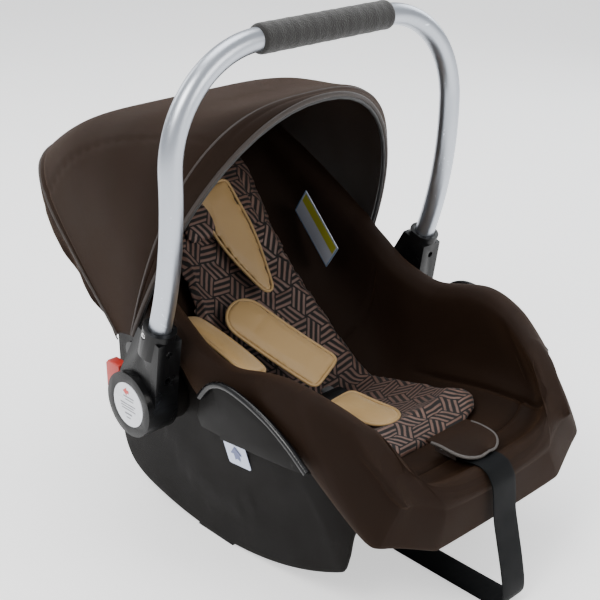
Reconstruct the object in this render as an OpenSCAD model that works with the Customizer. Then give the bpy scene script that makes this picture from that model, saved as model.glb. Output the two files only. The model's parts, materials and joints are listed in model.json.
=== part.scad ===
// Infant carrier seat: a bucket shell on rocker sides with a turning handle,
// a folding canopy, a padded cover, a newborn insert and a harness.
// Front (the foot end) is -Y, up is +Z, the floor is Z = 0.

/* [Seat] */
// Length of the seat from the foot lip to the head end
seat_length = 560; // [450:10:680]
// Half width of the plastic shell at its rim
shell_half_w = 167; // [140:1:205]
// How far each rocker side leans in between the rim and the floor
rocker_lean = 17; // [8:1:26]
// Wall of the plastic shell
shell_wall = 4; // [3:0.5:6]
// Thickness of the foam liner
foam_t = 14; // [8:1:20]
// Thickness of the cover inside the seat
cover_t = 6; // [4:1:8]
// Thickness of the padded cover outside the shell rim
wing_t = 15; // [12:1:18]
// Thickness of the newborn insert
insert_t = 18; // [12:1:24]
// Half width of the newborn insert on the seat
insert_half_w = 112; // [90:1:115]

/* [Handle] */
// Outer diameter of the handle tube
tube_d = 24; // [18:1:28]
// Wall of the handle tube
tube_wall = 1.5; // [1:0.1:2.5]
// Outer diameter of the foam grip
grip_d = 31; // [29:1:38]
// Length of the foam grip
grip_length = 184; // [120:5:200]
// Height of the straight top above the tube sockets
handle_rise = 284; // [280:2:340]
// Radius of the two top bends
bend_r = 115; // [100:1:130]
// Lean of the sockets from the vertical
socket_lean = 20; // [14:1:24]
// Distance from the handle axis to the tube socket
arm_length = 102; // [95:1:120]
// Diameter of the round hub
hub_d = 74; // [68:1:80]
// Width of the hub along the handle axis
hub_w = 38; // [36:1:44]
// Diameter of the pivot pin
pivot_d = 16; // [12:1:20]
// Diameter of the round label
label_d = 52; // [40:1:56]

/* [Canopy] */
// Height of the front bow above its hinge
bow_rise = 305; // [240:1:308]
// Diameter of the bow rod
bow_d = 5; // [4:0.5:6]
// Fabric thickness of the canopy
canopy_t = 2.4; // [2:0.2:4]

/* [Harness] */
// Width of the harness webbing
webbing_w = 25; // [20:1:30]
// Thickness of the webbing
webbing_t = 1.6; // [1.2:0.2:2]
// Width of the adjuster strap
strap_w = 36; // [30:1:40]
// Thickness of the padded strap covers
pad_t = 8; // [6:1:10]
// Width of the buckle
buckle_w = 44; // [38:1:50]

/* [Clearances] */
// Gap between neighbouring layers
layer_gap = 0.4; // [0.3:0.1:0.8]
// Radial running clearance of the pivots
run_gap = 0.08; // [0.05:0.01:0.1]
// Gap between a moving piece and its neighbour
side_gap = 0.6; // [0.4:0.1:1]

/* [Hidden] */
scale_yz = seat_length / 560;

// Side profiles as [angle below the rearward horizon, distance] about the profile pole.
pole_y = 0;
pole_z = 470 * scale_yz;
rim_curve = [[16, 268], [23, 230], [38, 202], [56, 196], [76, 212], [90, 236], [102, 250],
    [114, 254], [122, 268], [128, 304], [133, 350]];
floor_curve = [[16, 300], [27, 285], [33, 279], [50, 283], [63, 302], [76, 342], [83, 374],
    [90, 404], [98, 399], [109, 396], [117, 402], [123, 414], [128, 436], [133, 425]];
rocker_curve = [[16, 292], [33, 280], [42, 290], [54, 314], [61, 360], [65, 412], [68, 446],
    [71, 464], [76, 469], [116, 461], [118, 448], [121, 422], [124, 415], [128, 408], [133, 380]];
band_curve = [[16, 296], [22, 296], [46, 281], [60, 270], [68, 262], [74, 256], [84, 256], [88, 262],
    [91, 277], [94, 285], [112, 292], [118, 306], [121, 328], [123, 368], [124.5, 416], [127, 436], [131, 440]];
shell_from = 18;
shell_to = 126;
cover_from = 16;
cover_to = 130;
lip_from = 127;
lip_front = 283;
wing_front = 264;
angle_step = 3;

// Handle frame
rim_out = shell_half_w + wing_t + 3;
arm_in = rim_out + 3;
hub_out = arm_in + hub_w;
tube_x = arm_in + 4.5 + tube_d / 2;
hub_y = 45 * scale_yz;
hub_z = 179 * scale_yz;
socket_y = hub_y - arm_length * sin(socket_lean);
socket_z = hub_z + arm_length * cos(socket_lean);
lean_r = 480;
bend_z = socket_z + handle_rise - bend_r;
top_y = socket_y - lean_r * (1 - cos(socket_lean));
lean_z = socket_z + lean_r * sin(socket_lean);
collar_d = tube_d + 12;
button_travel = 5;

// Canopy frame
canopy_y = 102 * scale_yz;
canopy_z = 206 * scale_yz;
canopy_half_w = rim_out + 0.5;
front_angle = 113.4;
back_angle = 42;
clip_d = 22;

steel = "silver";
plastic = [0.10, 0.09, 0.09];
cloth = [0.20, 0.13, 0.10];
beige = [0.80, 0.68, 0.47];
black = [0.06, 0.06, 0.07];

// Value of a smooth curve through the table's points at x.
function cell(t, x, i = 0) = i >= len(t) - 2 || x < t[i + 1][0] ? i : cell(t, x, i + 1);
function slope(t, i) = i == 0 ? (t[1][1] - t[0][1]) / (t[1][0] - t[0][0])
    : i == len(t) - 1 ? (t[i][1] - t[i - 1][1]) / (t[i][0] - t[i - 1][0])
    : (t[i + 1][1] - t[i - 1][1]) / (t[i + 1][0] - t[i - 1][0]);
function blend(t, i, u, h) = (1 + 2 * u) * (1 - u) * (1 - u) * t[i][1] + u * u * (3 - 2 * u) * t[i + 1][1]
    + h * (u * (1 - u) * (1 - u) * slope(t, i) - u * u * (1 - u) * slope(t, i + 1));
function curve(t, x) = let (i = cell(t, x), h = t[i + 1][0] - t[i][0]) blend(t, i, (x - t[i][0]) / h, h);

function rim_r(a) = curve(rim_curve, a) * scale_yz;
function floor_r(a) = curve(floor_curve, a) * scale_yz;
function rocker_r(a) = min(curve(rocker_curve, a) * scale_yz, pole_z / sin(a));
function band_r(a) = curve(band_curve, a) * scale_yz;

// The frame's origin lies under the middle of the length, so each sub-part moves by this much.
middle = -14 * scale_yz;
module centred() { translate([0, middle, 0]) children(); }

// A point of a section: x across, r away from the pole in the direction of angle a.
function spot(x, r, a) = [x, pole_y + r * cos(a), pole_z - r * sin(a)];

// Half of a bucket section from the rim down to the middle of the floor.
corner_power = 4;
function bucket(w, top, low, n, from = 0) = [for (k = [0 : n]) let (t = from + (90 - from) * k / n)
    [w * pow(cos(t), 2 / corner_power), top + (low - top) * pow(sin(t), 2 / corner_power)]];
function both(half) = concat(half, [for (k = [len(half) - 2 : -1 : 0]) [-half[k][0], half[k][1]]]);
function back_to_front(list) = [for (k = [len(list) - 1 : -1 : 0]) list[k]];

// Closed solid through rings of equal length. Each ring is a row of points and as many points back,
// so that its ends are capped by a strip between the two rows.
module loft(rings) {
    n = len(rings[0]);
    m = len(rings);
    points = [for (ring = rings) each ring];
    sides = [for (i = [0 : m - 2], j = [0 : n - 1]) let (k = (j + 1) % n)
        each [[i * n + j, i * n + k, (i + 1) * n + k], [i * n + j, (i + 1) * n + k, (i + 1) * n + j]]];
    end = (m - 1) * n;
    caps = [for (j = [0 : floor(n / 2) - 2]) let (k = n - 1 - j) each [
        [j, k, j + 1], [j + 1, k, k - 1], [end + j, end + j + 1, end + k], [end + j + 1, end + k - 1, end + k]]];
    polyhedron(points, concat(sides, caps), convexity = 6);
}

// The sections stand at the same angles in the shell, the foam and the cover, so that their layers keep apart.
stations = concat([cover_from], [for (a = [shell_from : angle_step : 120]) a], [121.5, 123, 124.5, shell_to],
    [127.2, 128, 129, cover_to]);
function angles(from, to) = [for (a = stations) if (a >= from && a <= to) a];

// Round-cornered rectangle as points.
function round_rect(w, h, r, n = 6) = [for (c = [[1, 1, 0], [-1, 1, 90], [-1, -1, 180], [1, -1, 270]], k = [0 : n])
    [c[0] * (w / 2 - r) + r * cos(c[2] + 90 * k / n), c[1] * (h / 2 - r) + r * sin(c[2] + 90 * k / n)]];

// Children stand at a point, with their x and y along two directions.
function unit(v) = v / norm(v);
module stand(at, x_way, y_way) {
    x = unit(x_way);
    z = unit(cross(x, y_way));
    y = cross(z, x);
    multmatrix([[x[0], y[0], z[0], at[0]], [x[1], y[1], z[1], at[1]], [x[2], y[2], z[2], at[2]], [0, 0, 0, 1]])
        children();
}

// A slab from one point to another, its width along a third direction.
module slab(from, to, side, w, t, r) {
    stand((from + to) / 2, to - from, side) translate([0, 0, -t / 2])
        linear_extrude(t) polygon(round_rect(norm(to - from), w, r));
}

// A strap of even thickness along a route in the Y-Z plane, w wide across X.
function left_of(route, i) = let (
    a = unit(route[max(i, 1)] - route[max(i, 1) - 1]),
    b = unit(route[min(i + 1, len(route) - 1)] - route[min(i, len(route) - 2)]),
    m = unit(a + b)) [-m[1], m[0]] / max(0.5, m * a);
module strap(route, w, t, x = 0) {
    outline = concat([for (i = [0 : len(route) - 1]) route[i] + left_of(route, i) * t / 2],
        [for (i = [len(route) - 1 : -1 : 0]) route[i] - left_of(route, i) * t / 2]);
    translate([x - w / 2, 0, 0]) rotate([90, 0, 90]) linear_extrude(w) polygon(outline);
}

module along_x(x, y, z) { translate([x, y, z]) rotate([0, 90, 0]) children(); }
module each_side() { children(); mirror([1, 0, 0]) children(); }

// ---- Seat ----
function shell_w(a) = shell_half_w - (a < 68 ? (68 - a) * 0.65 : a > 119 ? pow(a - 119, 2) * 0.16 : 0);
function foot_w(a) = shell_w(a) - rocker_lean;
function wing(a) = wing_t * curve([[16, 0.5], [36, 0.45], [45, 0.3], [60, 0.1], [74, 0.1], [80, 0.35], [88, 0.72],
    [94, 0.72], [112, 0.66], [121, 0.95], [133, 1]], a);
function shell_ring(a) = let (
    w = shell_w(a), top = rim_r(a), low = floor_r(a), foot = rocker_r(a), foot_x = foot_w(a),
    inner_x = foot_x - 9,
    from = acos(pow(inner_x / (w - 1), corner_power / 2)),
    outside = [[w, top], [w + 1, top + 14], [w, (2 * top + foot) / 3], [foot_x + 5, (top + 3 * foot) / 4], [foot_x, foot]],
    under = bucket(w - 1, top, low, 6, from),
    half = concat(outside, [[foot_x - 5, foot]], under),
    inside = bucket(w - shell_wall, top, low - shell_wall, 10))
    [for (p = concat(both(half), back_to_front(both(inside)))) spot(p[0], p[1], a)];
module seat_shell() {
    color(plastic) loft([for (a = angles(shell_from, shell_to)) shell_ring(a)]);
}

// Layers inside the shell: outer face at one depth, inner face at the next.
function layer_ring(a, out, t, drop) = let (
    w = shell_w(a) - out, top = rim_r(a) + drop, low = floor_r(a) - out,
    outer = both(bucket(w, top, low, 10)), inner = both(bucket(w - t, top, low - t, 10)))
    [for (p = concat(outer, back_to_front(inner))) spot(p[0], p[1], a)];
module foam_liner() {
    color("gainsboro") loft([for (a = angles(shell_from + angle_step, shell_to - angle_step))
        layer_ring(a, shell_wall + layer_gap, foam_t, 0.5)]);
}

// The cover runs from the outer lower edge over the rim and down into the bucket.
inside_out = shell_wall + foam_t + 2 * layer_gap;
function cover_ring(a) = let (
    w = shell_w(a), top = rim_r(a) - layer_gap, low = floor_r(a), rise = 11,
    tuck = a < lip_from ? 0 : (a - lip_from + 0.6) * 5,
    edge = min(max(band_r(a), top + 20), wing_front * scale_yz / max(0.01, -cos(a))),
    outer = w + wing(a), edge_x = outer - 6 - tuck * 1.2,
    out = [[edge_x, edge], [outer + 2 - tuck, (top + 2 * edge) / 3], [outer + 3 - tuck / 2, (2 * top + edge) / 3],
        [outer - 4 - tuck / 3, top - rise * 0.4], [w + 1 - tuck / 3, top - rise], [w - foam_t, top - rise * 0.8]],
    in = bucket(w - inside_out - cover_t, top, low - inside_out - cover_t, 10),
    round_rim = [[w + 2, edge], [w + 2, (top + edge) / 2], [w + 2, (3 * top + edge) / 4],
        [w + 2, top + 5], [w + 1, top - 1], [w - foam_t / 2, top - 1]],
    back = bucket(w - inside_out, top, low - inside_out, 10),
    lip_r = lip_front * scale_yz / max(0.01, -cos(a)),
    lip = [for (k = [0 : 16]) [(edge_x - 3) * (1 - k / 16), edge + 1 + (lip_r - edge - 1) * min(1, k / 6)]],
    upper = both(concat(out, in)), lower = both(a < lip_from ? concat(round_rim, back) : lip))
    [for (p = concat(lower, back_to_front(upper))) spot(p[0], p[1], a)];
module seat_cover() {
    color(cloth) loft([for (a = angles(cover_from, cover_to)) cover_ring(a)]);
}

// Newborn insert: a thick quilted pad that follows the back and the seat.
insert_out = inside_out + cover_t + 1.5;
function insert_half(a) = curve([[24, 62], [30, 82], [60, 84], [80, 104], [100, insert_half_w], [116, 108], [120, 86]], a);
function insert_ring(a) = let (w = insert_half(a), low = floor_r(a) - insert_out, t = insert_t,
    lift = 1 - pow(0.12, 0.2), n = 10)
    concat([for (k = [0 : n]) let (s = 1 - 2 * k / n) spot(w * s, low - 16 * pow(abs(s), 4), a)],
        [for (k = [0 : n]) let (s = -1 + 2 * k / n)
            spot(w * s * 0.97, low - 16 * pow(abs(s), 4) - t * sqrt(1.06 - s * s * 0.96), a)]);
module newborn_insert() {
    color("dimgray") loft([for (a = angles(24, 120)) insert_ring(a)]);
}

// Pillow at the head end of the insert.
module head_pillow() {
    color("dimgray") loft([for (a = [34, 38, 43, 48, 52]) let (
        low = floor_r(a) - insert_out - insert_t - 4, swell = 5 * sqrt(1.02 - pow((a - 43) / 9, 2)))
        concat([for (k = [0 : 8]) let (s = 1 - k / 4) spot(58 * s, low, a)],
            [for (k = [0 : 8]) let (s = -1 + k / 4) spot(57 * s, low - 2 - swell * sqrt(1.02 - s * s), a)])]);
}

// Half-moon lap belt guide that stands off the shell side, behind it a slot for the belt.
guide_top = [[-24, 180], [-31, 207], [-47, 227], [-66, 235], [-84, 235], [-113, 229], [-143, 219], [-171, 204], [-196, 186]];
guide_foot = [[-160, 180], [-142, 178], [-106, 174], [-65, 170], [-30, 169]];
guide_in = shell_half_w + 14.5;
guide_out = arm_in + 3.5;
module guide_plate(points, x, t) {
    translate([x, 0, 0]) rotate([90, 0, 90]) linear_extrude(t) polygon([for (p = points) p * scale_yz]);
}
module left_belt_guide() {
    color(black) mirror([1, 0, 0]) belt_guide();
}
module right_belt_guide() {
    color(black) belt_guide();
}
module belt_guide() {
    difference() {
        union() {
            guide_plate(concat(guide_top, guide_foot), guide_in + 4.5, guide_out - guide_in - 4.5);
            guide_plate(concat([[-24, 180], [-170, 184]], guide_foot), shell_half_w + 2.5,
                guide_in + 5 - shell_half_w - 2.5);
        }
        along_x(arm_in - side_gap, hub_y, hub_z) cylinder(h = 60, r = arm_length + 9);
    }
}

// ---- Handle hubs ----
// Fixed base on the shell with the pivot pin that the handle arm turns on.
module hub_base() {
    along_x(shell_half_w + 2.2, hub_y, hub_z) cylinder(h = arm_in - side_gap - shell_half_w - 2.2, d = hub_d - 8);
    along_x(shell_half_w + 3, hub_y, hub_z) cylinder(h = hub_out - shell_half_w - 7, d = pivot_d);
}
module right_hub_base() { color(plastic) hub_base(); }
module left_hub_base() { color(plastic) mirror([1, 0, 0]) hub_base(); }

// Arm: round hub, tapered web and the collar that takes the tube.
module arm_web(x, w, from, to, half_from, half_to) {
    translate([x, hub_y, hub_z]) rotate([90, 0, 90]) rotate(90 + socket_lean)
        linear_extrude(w) polygon([[from, -half_from], [to, -half_to], [to, half_to], [from, half_from]]);
}
module in_arm(x, along) {
    translate([x, hub_y - along * sin(socket_lean), hub_z + along * cos(socket_lean)])
        rotate([socket_lean, 0, 0]) children();
}
button_h = 36;
button_w = 13;
button_x = arm_in + 20;
button_z = hub_z + 13;
pocket_y = hub_y + 16;
module handle_arm() {
    difference() {
        union() {
            along_x(arm_in, hub_y, hub_z) cylinder(h = hub_w, d = hub_d);
            arm_web(arm_in, 30, 10, arm_length - 8, hub_d / 2 - 3, collar_d / 2);
            intersection() {
                in_arm(tube_x, arm_length - 34) cylinder(h = 34, d = collar_d);
                translate([arm_in, -400, 0]) cube([80, 900, 900]);
            }
        }
        along_x(arm_in - 1, hub_y, hub_z) cylinder(h = hub_w - 3, d = pivot_d + 2 * run_gap);
        in_arm(tube_x, arm_length - 30) cylinder(h = 60, d = tube_d + 2 * layer_gap);
        translate([button_x - button_w / 2 - side_gap, pocket_y, button_z - button_h / 2 - side_gap])
            cube([button_w + 2 * side_gap, 60, button_h + 2 * side_gap]);
        along_x(hub_out - 0.8, hub_y, hub_z) cylinder(h = 2, d = label_d + 0.4);
        for (s = screw_spots) in_arm(arm_in + s[2] - 2.5, s[0]) translate([0, s[1], 0]) rotate([0, 90, 0])
            cylinder(h = 4, d = screw_d + 0.6);
        for (s = front_spots) in_arm(arm_in + s[1], s[0]) translate([0, -30, 0]) rotate([-90, 0, 0])
            cylinder(h = 60 - front_depth, d = screw_d + 0.6, center = true);
    }
}
screw_d = 7;
screw_spots = [[94, 4, 33.5], [66, 4, 30]];
front_spots = [[80, 15], [48, 15]];
front_depth = 30;
module right_handle_arm() { color(black) handle_arm(); }
module left_handle_arm() { color(black) mirror([1, 0, 0]) handle_arm(); }

// Bent tube along a centre line: leaning stretch, upright, bend, straight top and the same down again.
tube_sides = 20;
function lean_point(b) = [[tube_x, socket_y + lean_r * (cos(socket_lean) - cos(b)), lean_z - lean_r * sin(b)],
    [0, -sin(b), cos(b)]];
function bend_point(b) = [[tube_x - bend_r * (1 - cos(b)), top_y, bend_z + bend_r * sin(b)], [-sin(b), 0, cos(b)]];
function socket_point(back) = [[tube_x, socket_y + back * sin(socket_lean), socket_z - back * cos(socket_lean)],
    [0, -sin(socket_lean), cos(socket_lean)]];
half_tube = concat([socket_point(28)], [for (k = [0 : 6]) lean_point(socket_lean * (1 - k / 6))],
    [for (k = [0 : 10]) bend_point(90 * k / 10)], [[[grip_length / 4, top_y, bend_z + bend_r], [-1, 0, 0]]]);
tube_line = concat(half_tube, [for (k = [len(half_tube) - 1 : -1 : 0]) let (p = half_tube[k])
    [[-p[0][0], p[0][1], p[0][2]], [p[1][0], -p[1][1], -p[1][2]]]]);
function tube_ring(p, d) = let (z = p[1], u = unit(cross([0, 1, 0], z)), v = cross(z, u))
    [for (j = [0 : tube_sides - 1]) let (t = 360 * j / tube_sides) p[0] + d / 2 * (u * cos(t) + v * sin(t))];
module handle_tube() {
    n = tube_sides;
    m = len(tube_line);
    points = concat([for (p = tube_line) each tube_ring(p, tube_d)],
        [for (p = tube_line) each tube_ring(p, tube_d - 2 * tube_wall)]);
    inner = m * n;
    end = (m - 1) * n;
    walls = [for (i = [0 : m - 2], j = [0 : n - 1]) let (k = (j + 1) % n, a = i * n, b = a + n)
        each [[a + j, b + k, a + k], [a + j, b + j, b + k],
            [inner + a + j, inner + a + k, inner + b + k], [inner + a + j, inner + b + k, inner + b + j]]];
    ends = [for (j = [0 : n - 1]) let (k = (j + 1) % n)
        each [[j, k, inner + k], [j, inner + k, inner + j],
            [end + j, inner + end + k, end + k], [end + j, inner + end + j, inner + end + k]]];
    color(steel) polyhedron(points, concat(walls, ends), convexity = 8);
}
module foam_grip() {
    color(black) along_x(-grip_length / 2, top_y, bend_z + bend_r) difference() {
        cylinder(h = grip_length, d = grip_d);
        translate([0, 0, -1]) cylinder(h = grip_length + 2, d = tube_d + 0.2);
    }
}

// Red release button in a pocket of the hub, pushed towards the axis against a spring.
button_out = 60;
module release_button() {
    translate([button_x - button_w / 2, hub_y + 30, button_z - button_h / 2])
        cube([button_w, button_out - 38, button_h]);
    translate([button_x - button_w / 2, hub_y + button_out - 13, button_z - button_h / 2 + 3])
        cube([button_w, 8, button_h - 6]);
}
module right_release_button() { color("red") release_button(); }
module left_release_button() { color("red") mirror([1, 0, 0]) release_button(); }

// Coil spring between the pocket floor and the button.
module button_spring() {
    turns = 4;
    steps = 16;
    coil_r = 4;
    wire_r = 0.6;
    from = pocket_y + 1.2;
    to = hub_y + 29;
    rings = [for (i = [0 : turns * steps]) let (t = 360 * i / steps, y = from + (to - from) * i / (turns * steps))
        [for (j = [0 : 5]) let (q = coil_r + wire_r * cos(60 * j))
            [button_x + q * cos(t), y - wire_r * sin(60 * j), button_z + q * sin(t)]]];
    loft(rings);
}
module right_button_spring() { color(steel) button_spring(); }
module left_button_spring() { color(steel) mirror([1, 0, 0]) button_spring(); }

module hub_label() { along_x(hub_out - 0.7, hub_y, hub_z) cylinder(h = 1, d = label_d); }
module right_hub_label() { color("white") hub_label(); }
module left_hub_label() { color("white") mirror([1, 0, 0]) hub_label(); }

module screw(h) {
    difference() {
        cylinder(h = h, d = screw_d);
        translate([-screw_d / 3, -0.6, h - 1]) cube([screw_d / 1.5, 1.2, 2]);
        translate([-0.6, -screw_d / 3, h - 1]) cube([1.2, screw_d / 1.5, 2]);
    }
}
module handle_screws() {
    color(steel) each_side() {
        for (s = screw_spots) in_arm(arm_in + s[2] - 2.4, s[0]) translate([0, s[1], 0]) rotate([0, 90, 0]) screw(2);
    }
}
module tube_rivets() {
    color(steel) each_side() {
        for (s = front_spots) in_arm(arm_in + s[1], s[0]) translate([0, -15 - 0.1, 0]) rotate([90, 0, 0]) screw(2);
    }
}

// ---- Canopy ----
// Arch of the canopy at angle th about its hinge: width w, height h, roundness p.
function arch(th, w, h, p, n) = [for (k = [0 : n]) let (
    t = 5 + 170 * k / n, c = cos(t), s = sin(t), m = pow(pow(abs(c), p) + pow(s, p), 1 / p), q = h * s / m)
    [w * c / m, canopy_y + q * cos(th), canopy_z + q * sin(th)]];
function arch_power(th) = curve([[back_angle, 6.5], [60, 6.5], [75, 6], [98, 4.4], [108, 3], [front_angle, 2.13]], th);
function arch_rise(th) = bow_rise * curve([[back_angle, 0.905], [58, 0.875], [75, 0.845], [90, 0.847],
    [99, 0.88], [107, 0.944], [front_angle, 1]], th);
// Stations of the cloth: angle and size, the first three are the hem that wraps behind the head end.
hem = [[back_angle - 5, 0.78], [back_angle - 4, 0.9], [back_angle - 2, 0.98]];
cloth_stations = concat(hem, [for (i = [0 : 14]) [back_angle + (front_angle - back_angle) * i / 14, 1]]);
module canopy_fabric() {
    color(cloth) loft([for (s = cloth_stations) let (
        th = max(s[0], back_angle), w = canopy_half_w - 1, h = (arch_rise(th) + bow_d / 2) * s[1], p = arch_power(th))
        concat(arch(s[0], w - canopy_t, h - canopy_t, p, 26), back_to_front(arch(s[0], w, h, p, 26)))]);
}
module canopy_bow() {
    n = 26;
    w = canopy_half_w - canopy_t - 1.6 - bow_d / 2;
    h = bow_rise - canopy_t - 1;
    color(plastic) loft([for (k = [0 : n]) let (
        t = 6 + 168 * k / n, c = cos(t), s = sin(t), p = 2.13,
        x = w * sign(c) * pow(abs(c), 2 / p), q = h * pow(s, 2 / p),
        dx = w / h * pow(abs(c), 0.94) * sign(c), dq = pow(s, 0.94), m = norm([dx, dq]))
        [for (j = [0 : 7]) let (e = bow_d / 2 * cos(45 * j), f = -bow_d / 2 * sin(45 * j),
            xx = x + e * dx / m, qq = q + e * dq / m)
            [xx, canopy_y + qq * cos(front_angle) + f * sin(front_angle),
             canopy_z + qq * sin(front_angle) - f * cos(front_angle)]]]);
}
// Pivot clips at the ends of the bow.
clip_x = canopy_half_w - canopy_t - 11;
module canopy_clips() {
    color(plastic) each_side() {
        difference() {
            along_x(clip_x, canopy_y, canopy_z) cylinder(h = 6, d = clip_d);
            along_x(clip_x - 1, canopy_y, canopy_z) cylinder(h = 8, d = 8 + 2 * run_gap);
        }
    }
}
module canopy_snaps() {
    from = shell_half_w + 1 + side_gap;
    color(plastic) each_side() along_x(from, canopy_y, canopy_z) cylinder(h = clip_x + 6 - from, d = 8);
}

// ---- Harness ----
module right_shoulder_pad() {
    color(beige) slab([-48, 84, 223], [2, -24, 158], [-1, -0.2, 0.1], 46, pad_t, 14);
}
module left_shoulder_pad() {
    color(beige) slab([-120, 76, 236], [-112, -36, 206], [1, 0, -0.3], 30, pad_t, 8);
}
module upper_strap_cover() {
    color(beige) slab([2, 176, 338], [14, 84, 226], [-1, 0, 0.1], 44, pad_t / 2, 10);
}
module crotch_pad() {
    color(beige) slab([-16, -64, 153], [-8, -142, 152], [1, 0, 0], 46, pad_t, 20);
}
module right_shoulder_strap() {
    color(black) slab([-48, 90, 216], [0, -22, 151], [-1, -0.2, 0.1], webbing_w, webbing_t, 0.5);
}
module left_shoulder_strap() {
    color(black) slab([-120, 84, 230], [-112, -30, 200], [1, 0, -0.3], webbing_w - 3, webbing_t, 0.5);
}
buckle_at = [-8, -48, 136];
module buckle_body() {
    color(black) translate(buckle_at) rotate([8, 0, 0]) difference() {
        translate([0, 0, -8]) linear_extrude(16) polygon(round_rect(buckle_w, 30, 6));
        translate([0, -9, 3]) linear_extrude(20) polygon(round_rect(20 + 2 * side_gap, 10 + 2 * side_gap, 3));
    }
}
module buckle_button() {
    color("red") translate(buckle_at) rotate([8, 0, 0]) translate([0, -9, 6]) linear_extrude(4)
        polygon(round_rect(20, 10, 3));
}
module buckle_tongues() {
    color(steel) for (s = [-1, 1]) translate(buckle_at) rotate([8, 0, 0])
        translate([s * 11, 21.5, 0]) linear_extrude(2) polygon(round_rect(16, 12, 3));
}
module crotch_strap() {
    color(black) translate(buckle_at) rotate([8, 0, 0]) translate([-webbing_w / 2, -15 - 12, -6])
        cube([webbing_w, 12, webbing_t]);
}

// Steel plate behind the shell that joins the shoulder straps to the adjuster strap.
module splitter_plate() {
    color(steel) stand([0, 118, 96], [1, 0, 0], [0, 0.5, 0.86]) difference() {
        translate([0, 0, -1.2]) linear_extrude(2.4) polygon(round_rect(60, 34, 5));
        for (y = [-9, 9]) translate([0, y, -3]) linear_extrude(6) polygon(round_rect(strap_w + 4, 5, 2.4));
    }
}
module rear_strap() {
    color(black) strap([[128, 110], [142, 160], [184, 235], [238, 312]], webbing_w, webbing_t);
}
module strap_anchors() {
    color(steel) each_side() stand([60, 40, 36], [1, 0, 0], [0, 1, 0]) difference() {
        linear_extrude(2) polygon(round_rect(40, 18, 4));
        translate([0, 0, -1]) linear_extrude(4) polygon(round_rect(webbing_w + 3, 5, 2.4));
    }
}

// Adjuster under its flap at the foot of the seat, and the free strap that pulls it.
adjuster_y = -226;
adjuster_z = 152;
module adjuster_body() {
    color(steel) translate([0, adjuster_y, adjuster_z]) difference() {
        translate([-24, -14, 0]) cube([48, 28, 8]);
        translate([-20, -12, 2]) cube([40, 24, 10]);
        along_x(-26, 6, 5) cylinder(h = 52, d = 3 + 2 * run_gap, $fn = 32);
    }
}
module adjuster_lever() {
    color(steel) translate([0, adjuster_y, adjuster_z]) {
        along_x(-23, 6, 5) cylinder(h = 46, d = 3, $fn = 32);
        translate([-18, -10, 4.4]) cube([36, 17, 1.6]);
    }
}
module adjuster_flap() {
    color(cloth) strap([[-206, 164], [-226, 166.5], [-246, 165.5], [-262, 162]], 64, 2.4);
}
strap_x = -6;
strap_route = [[-240.6, 154], [-252, 156.3], [-263, 158.2], [-272, 158.6], [-281, 155], [-289, 143], [-291, 127],
    [-293, 104], [-299, 80], [-306, 52], [-311, 28], [-312, 14], [-307, 5], [-297, 2.2], [-280, 1.8],
    [-240, 1.6], [-190, 1.6], [-160, 1.6]];
module adjuster_strap() { color(black) strap(strap_route, strap_w, webbing_t, strap_x); }

// ---- Small flat pieces ----
module arrow_sticker() {
    color("lightsteelblue") mirror([1, 0, 0]) stand([shell_half_w + 0.6, -63, 142], [0, -1, 0.1], [0.22, 0.1, 1])
        linear_extrude(0.6) polygon(round_rect(35, 34, 3));
}
module care_tag() {
    color("white") stand([110.8, 106.3, 275.1], [0.1, 1, 0.9], [-0.3, -0.8, 1]) linear_extrude(0.8)
        polygon(round_rect(86, 50, 2));
}
foot_t = 1.6;
module rocker_feet() {
    color(black) each_side() translate([shell_half_w - rocker_lean - 8, -30, 0]) cube([7, 60, foot_t]);
}

centred() seat_shell();
centred() foam_liner();
centred() seat_cover();
centred() newborn_insert();
centred() head_pillow();
centred() left_belt_guide();
centred() right_belt_guide();
centred() left_hub_base();
centred() right_hub_base();
centred() left_handle_arm();
centred() right_handle_arm();
centred() handle_tube();
centred() foam_grip();
centred() left_release_button();
centred() right_release_button();
centred() left_button_spring();
centred() right_button_spring();
centred() left_hub_label();
centred() right_hub_label();
centred() handle_screws();
centred() tube_rivets();
centred() canopy_bow();
centred() canopy_clips();
centred() canopy_fabric();
centred() canopy_snaps();
centred() left_shoulder_pad();
centred() right_shoulder_pad();
centred() upper_strap_cover();
centred() crotch_pad();
centred() left_shoulder_strap();
centred() right_shoulder_strap();
centred() crotch_strap();
centred() buckle_body();
centred() buckle_button();
centred() buckle_tongues();
centred() splitter_plate();
centred() rear_strap();
centred() adjuster_body();
centred() adjuster_lever();
centred() adjuster_flap();
centred() adjuster_strap();
centred() strap_anchors();
centred() arrow_sticker();
centred() care_tag();
centred() rocker_feet();
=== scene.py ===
import json
import math

import bmesh
import bpy
import numpy as np
from mathutils import Matrix, Vector


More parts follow.
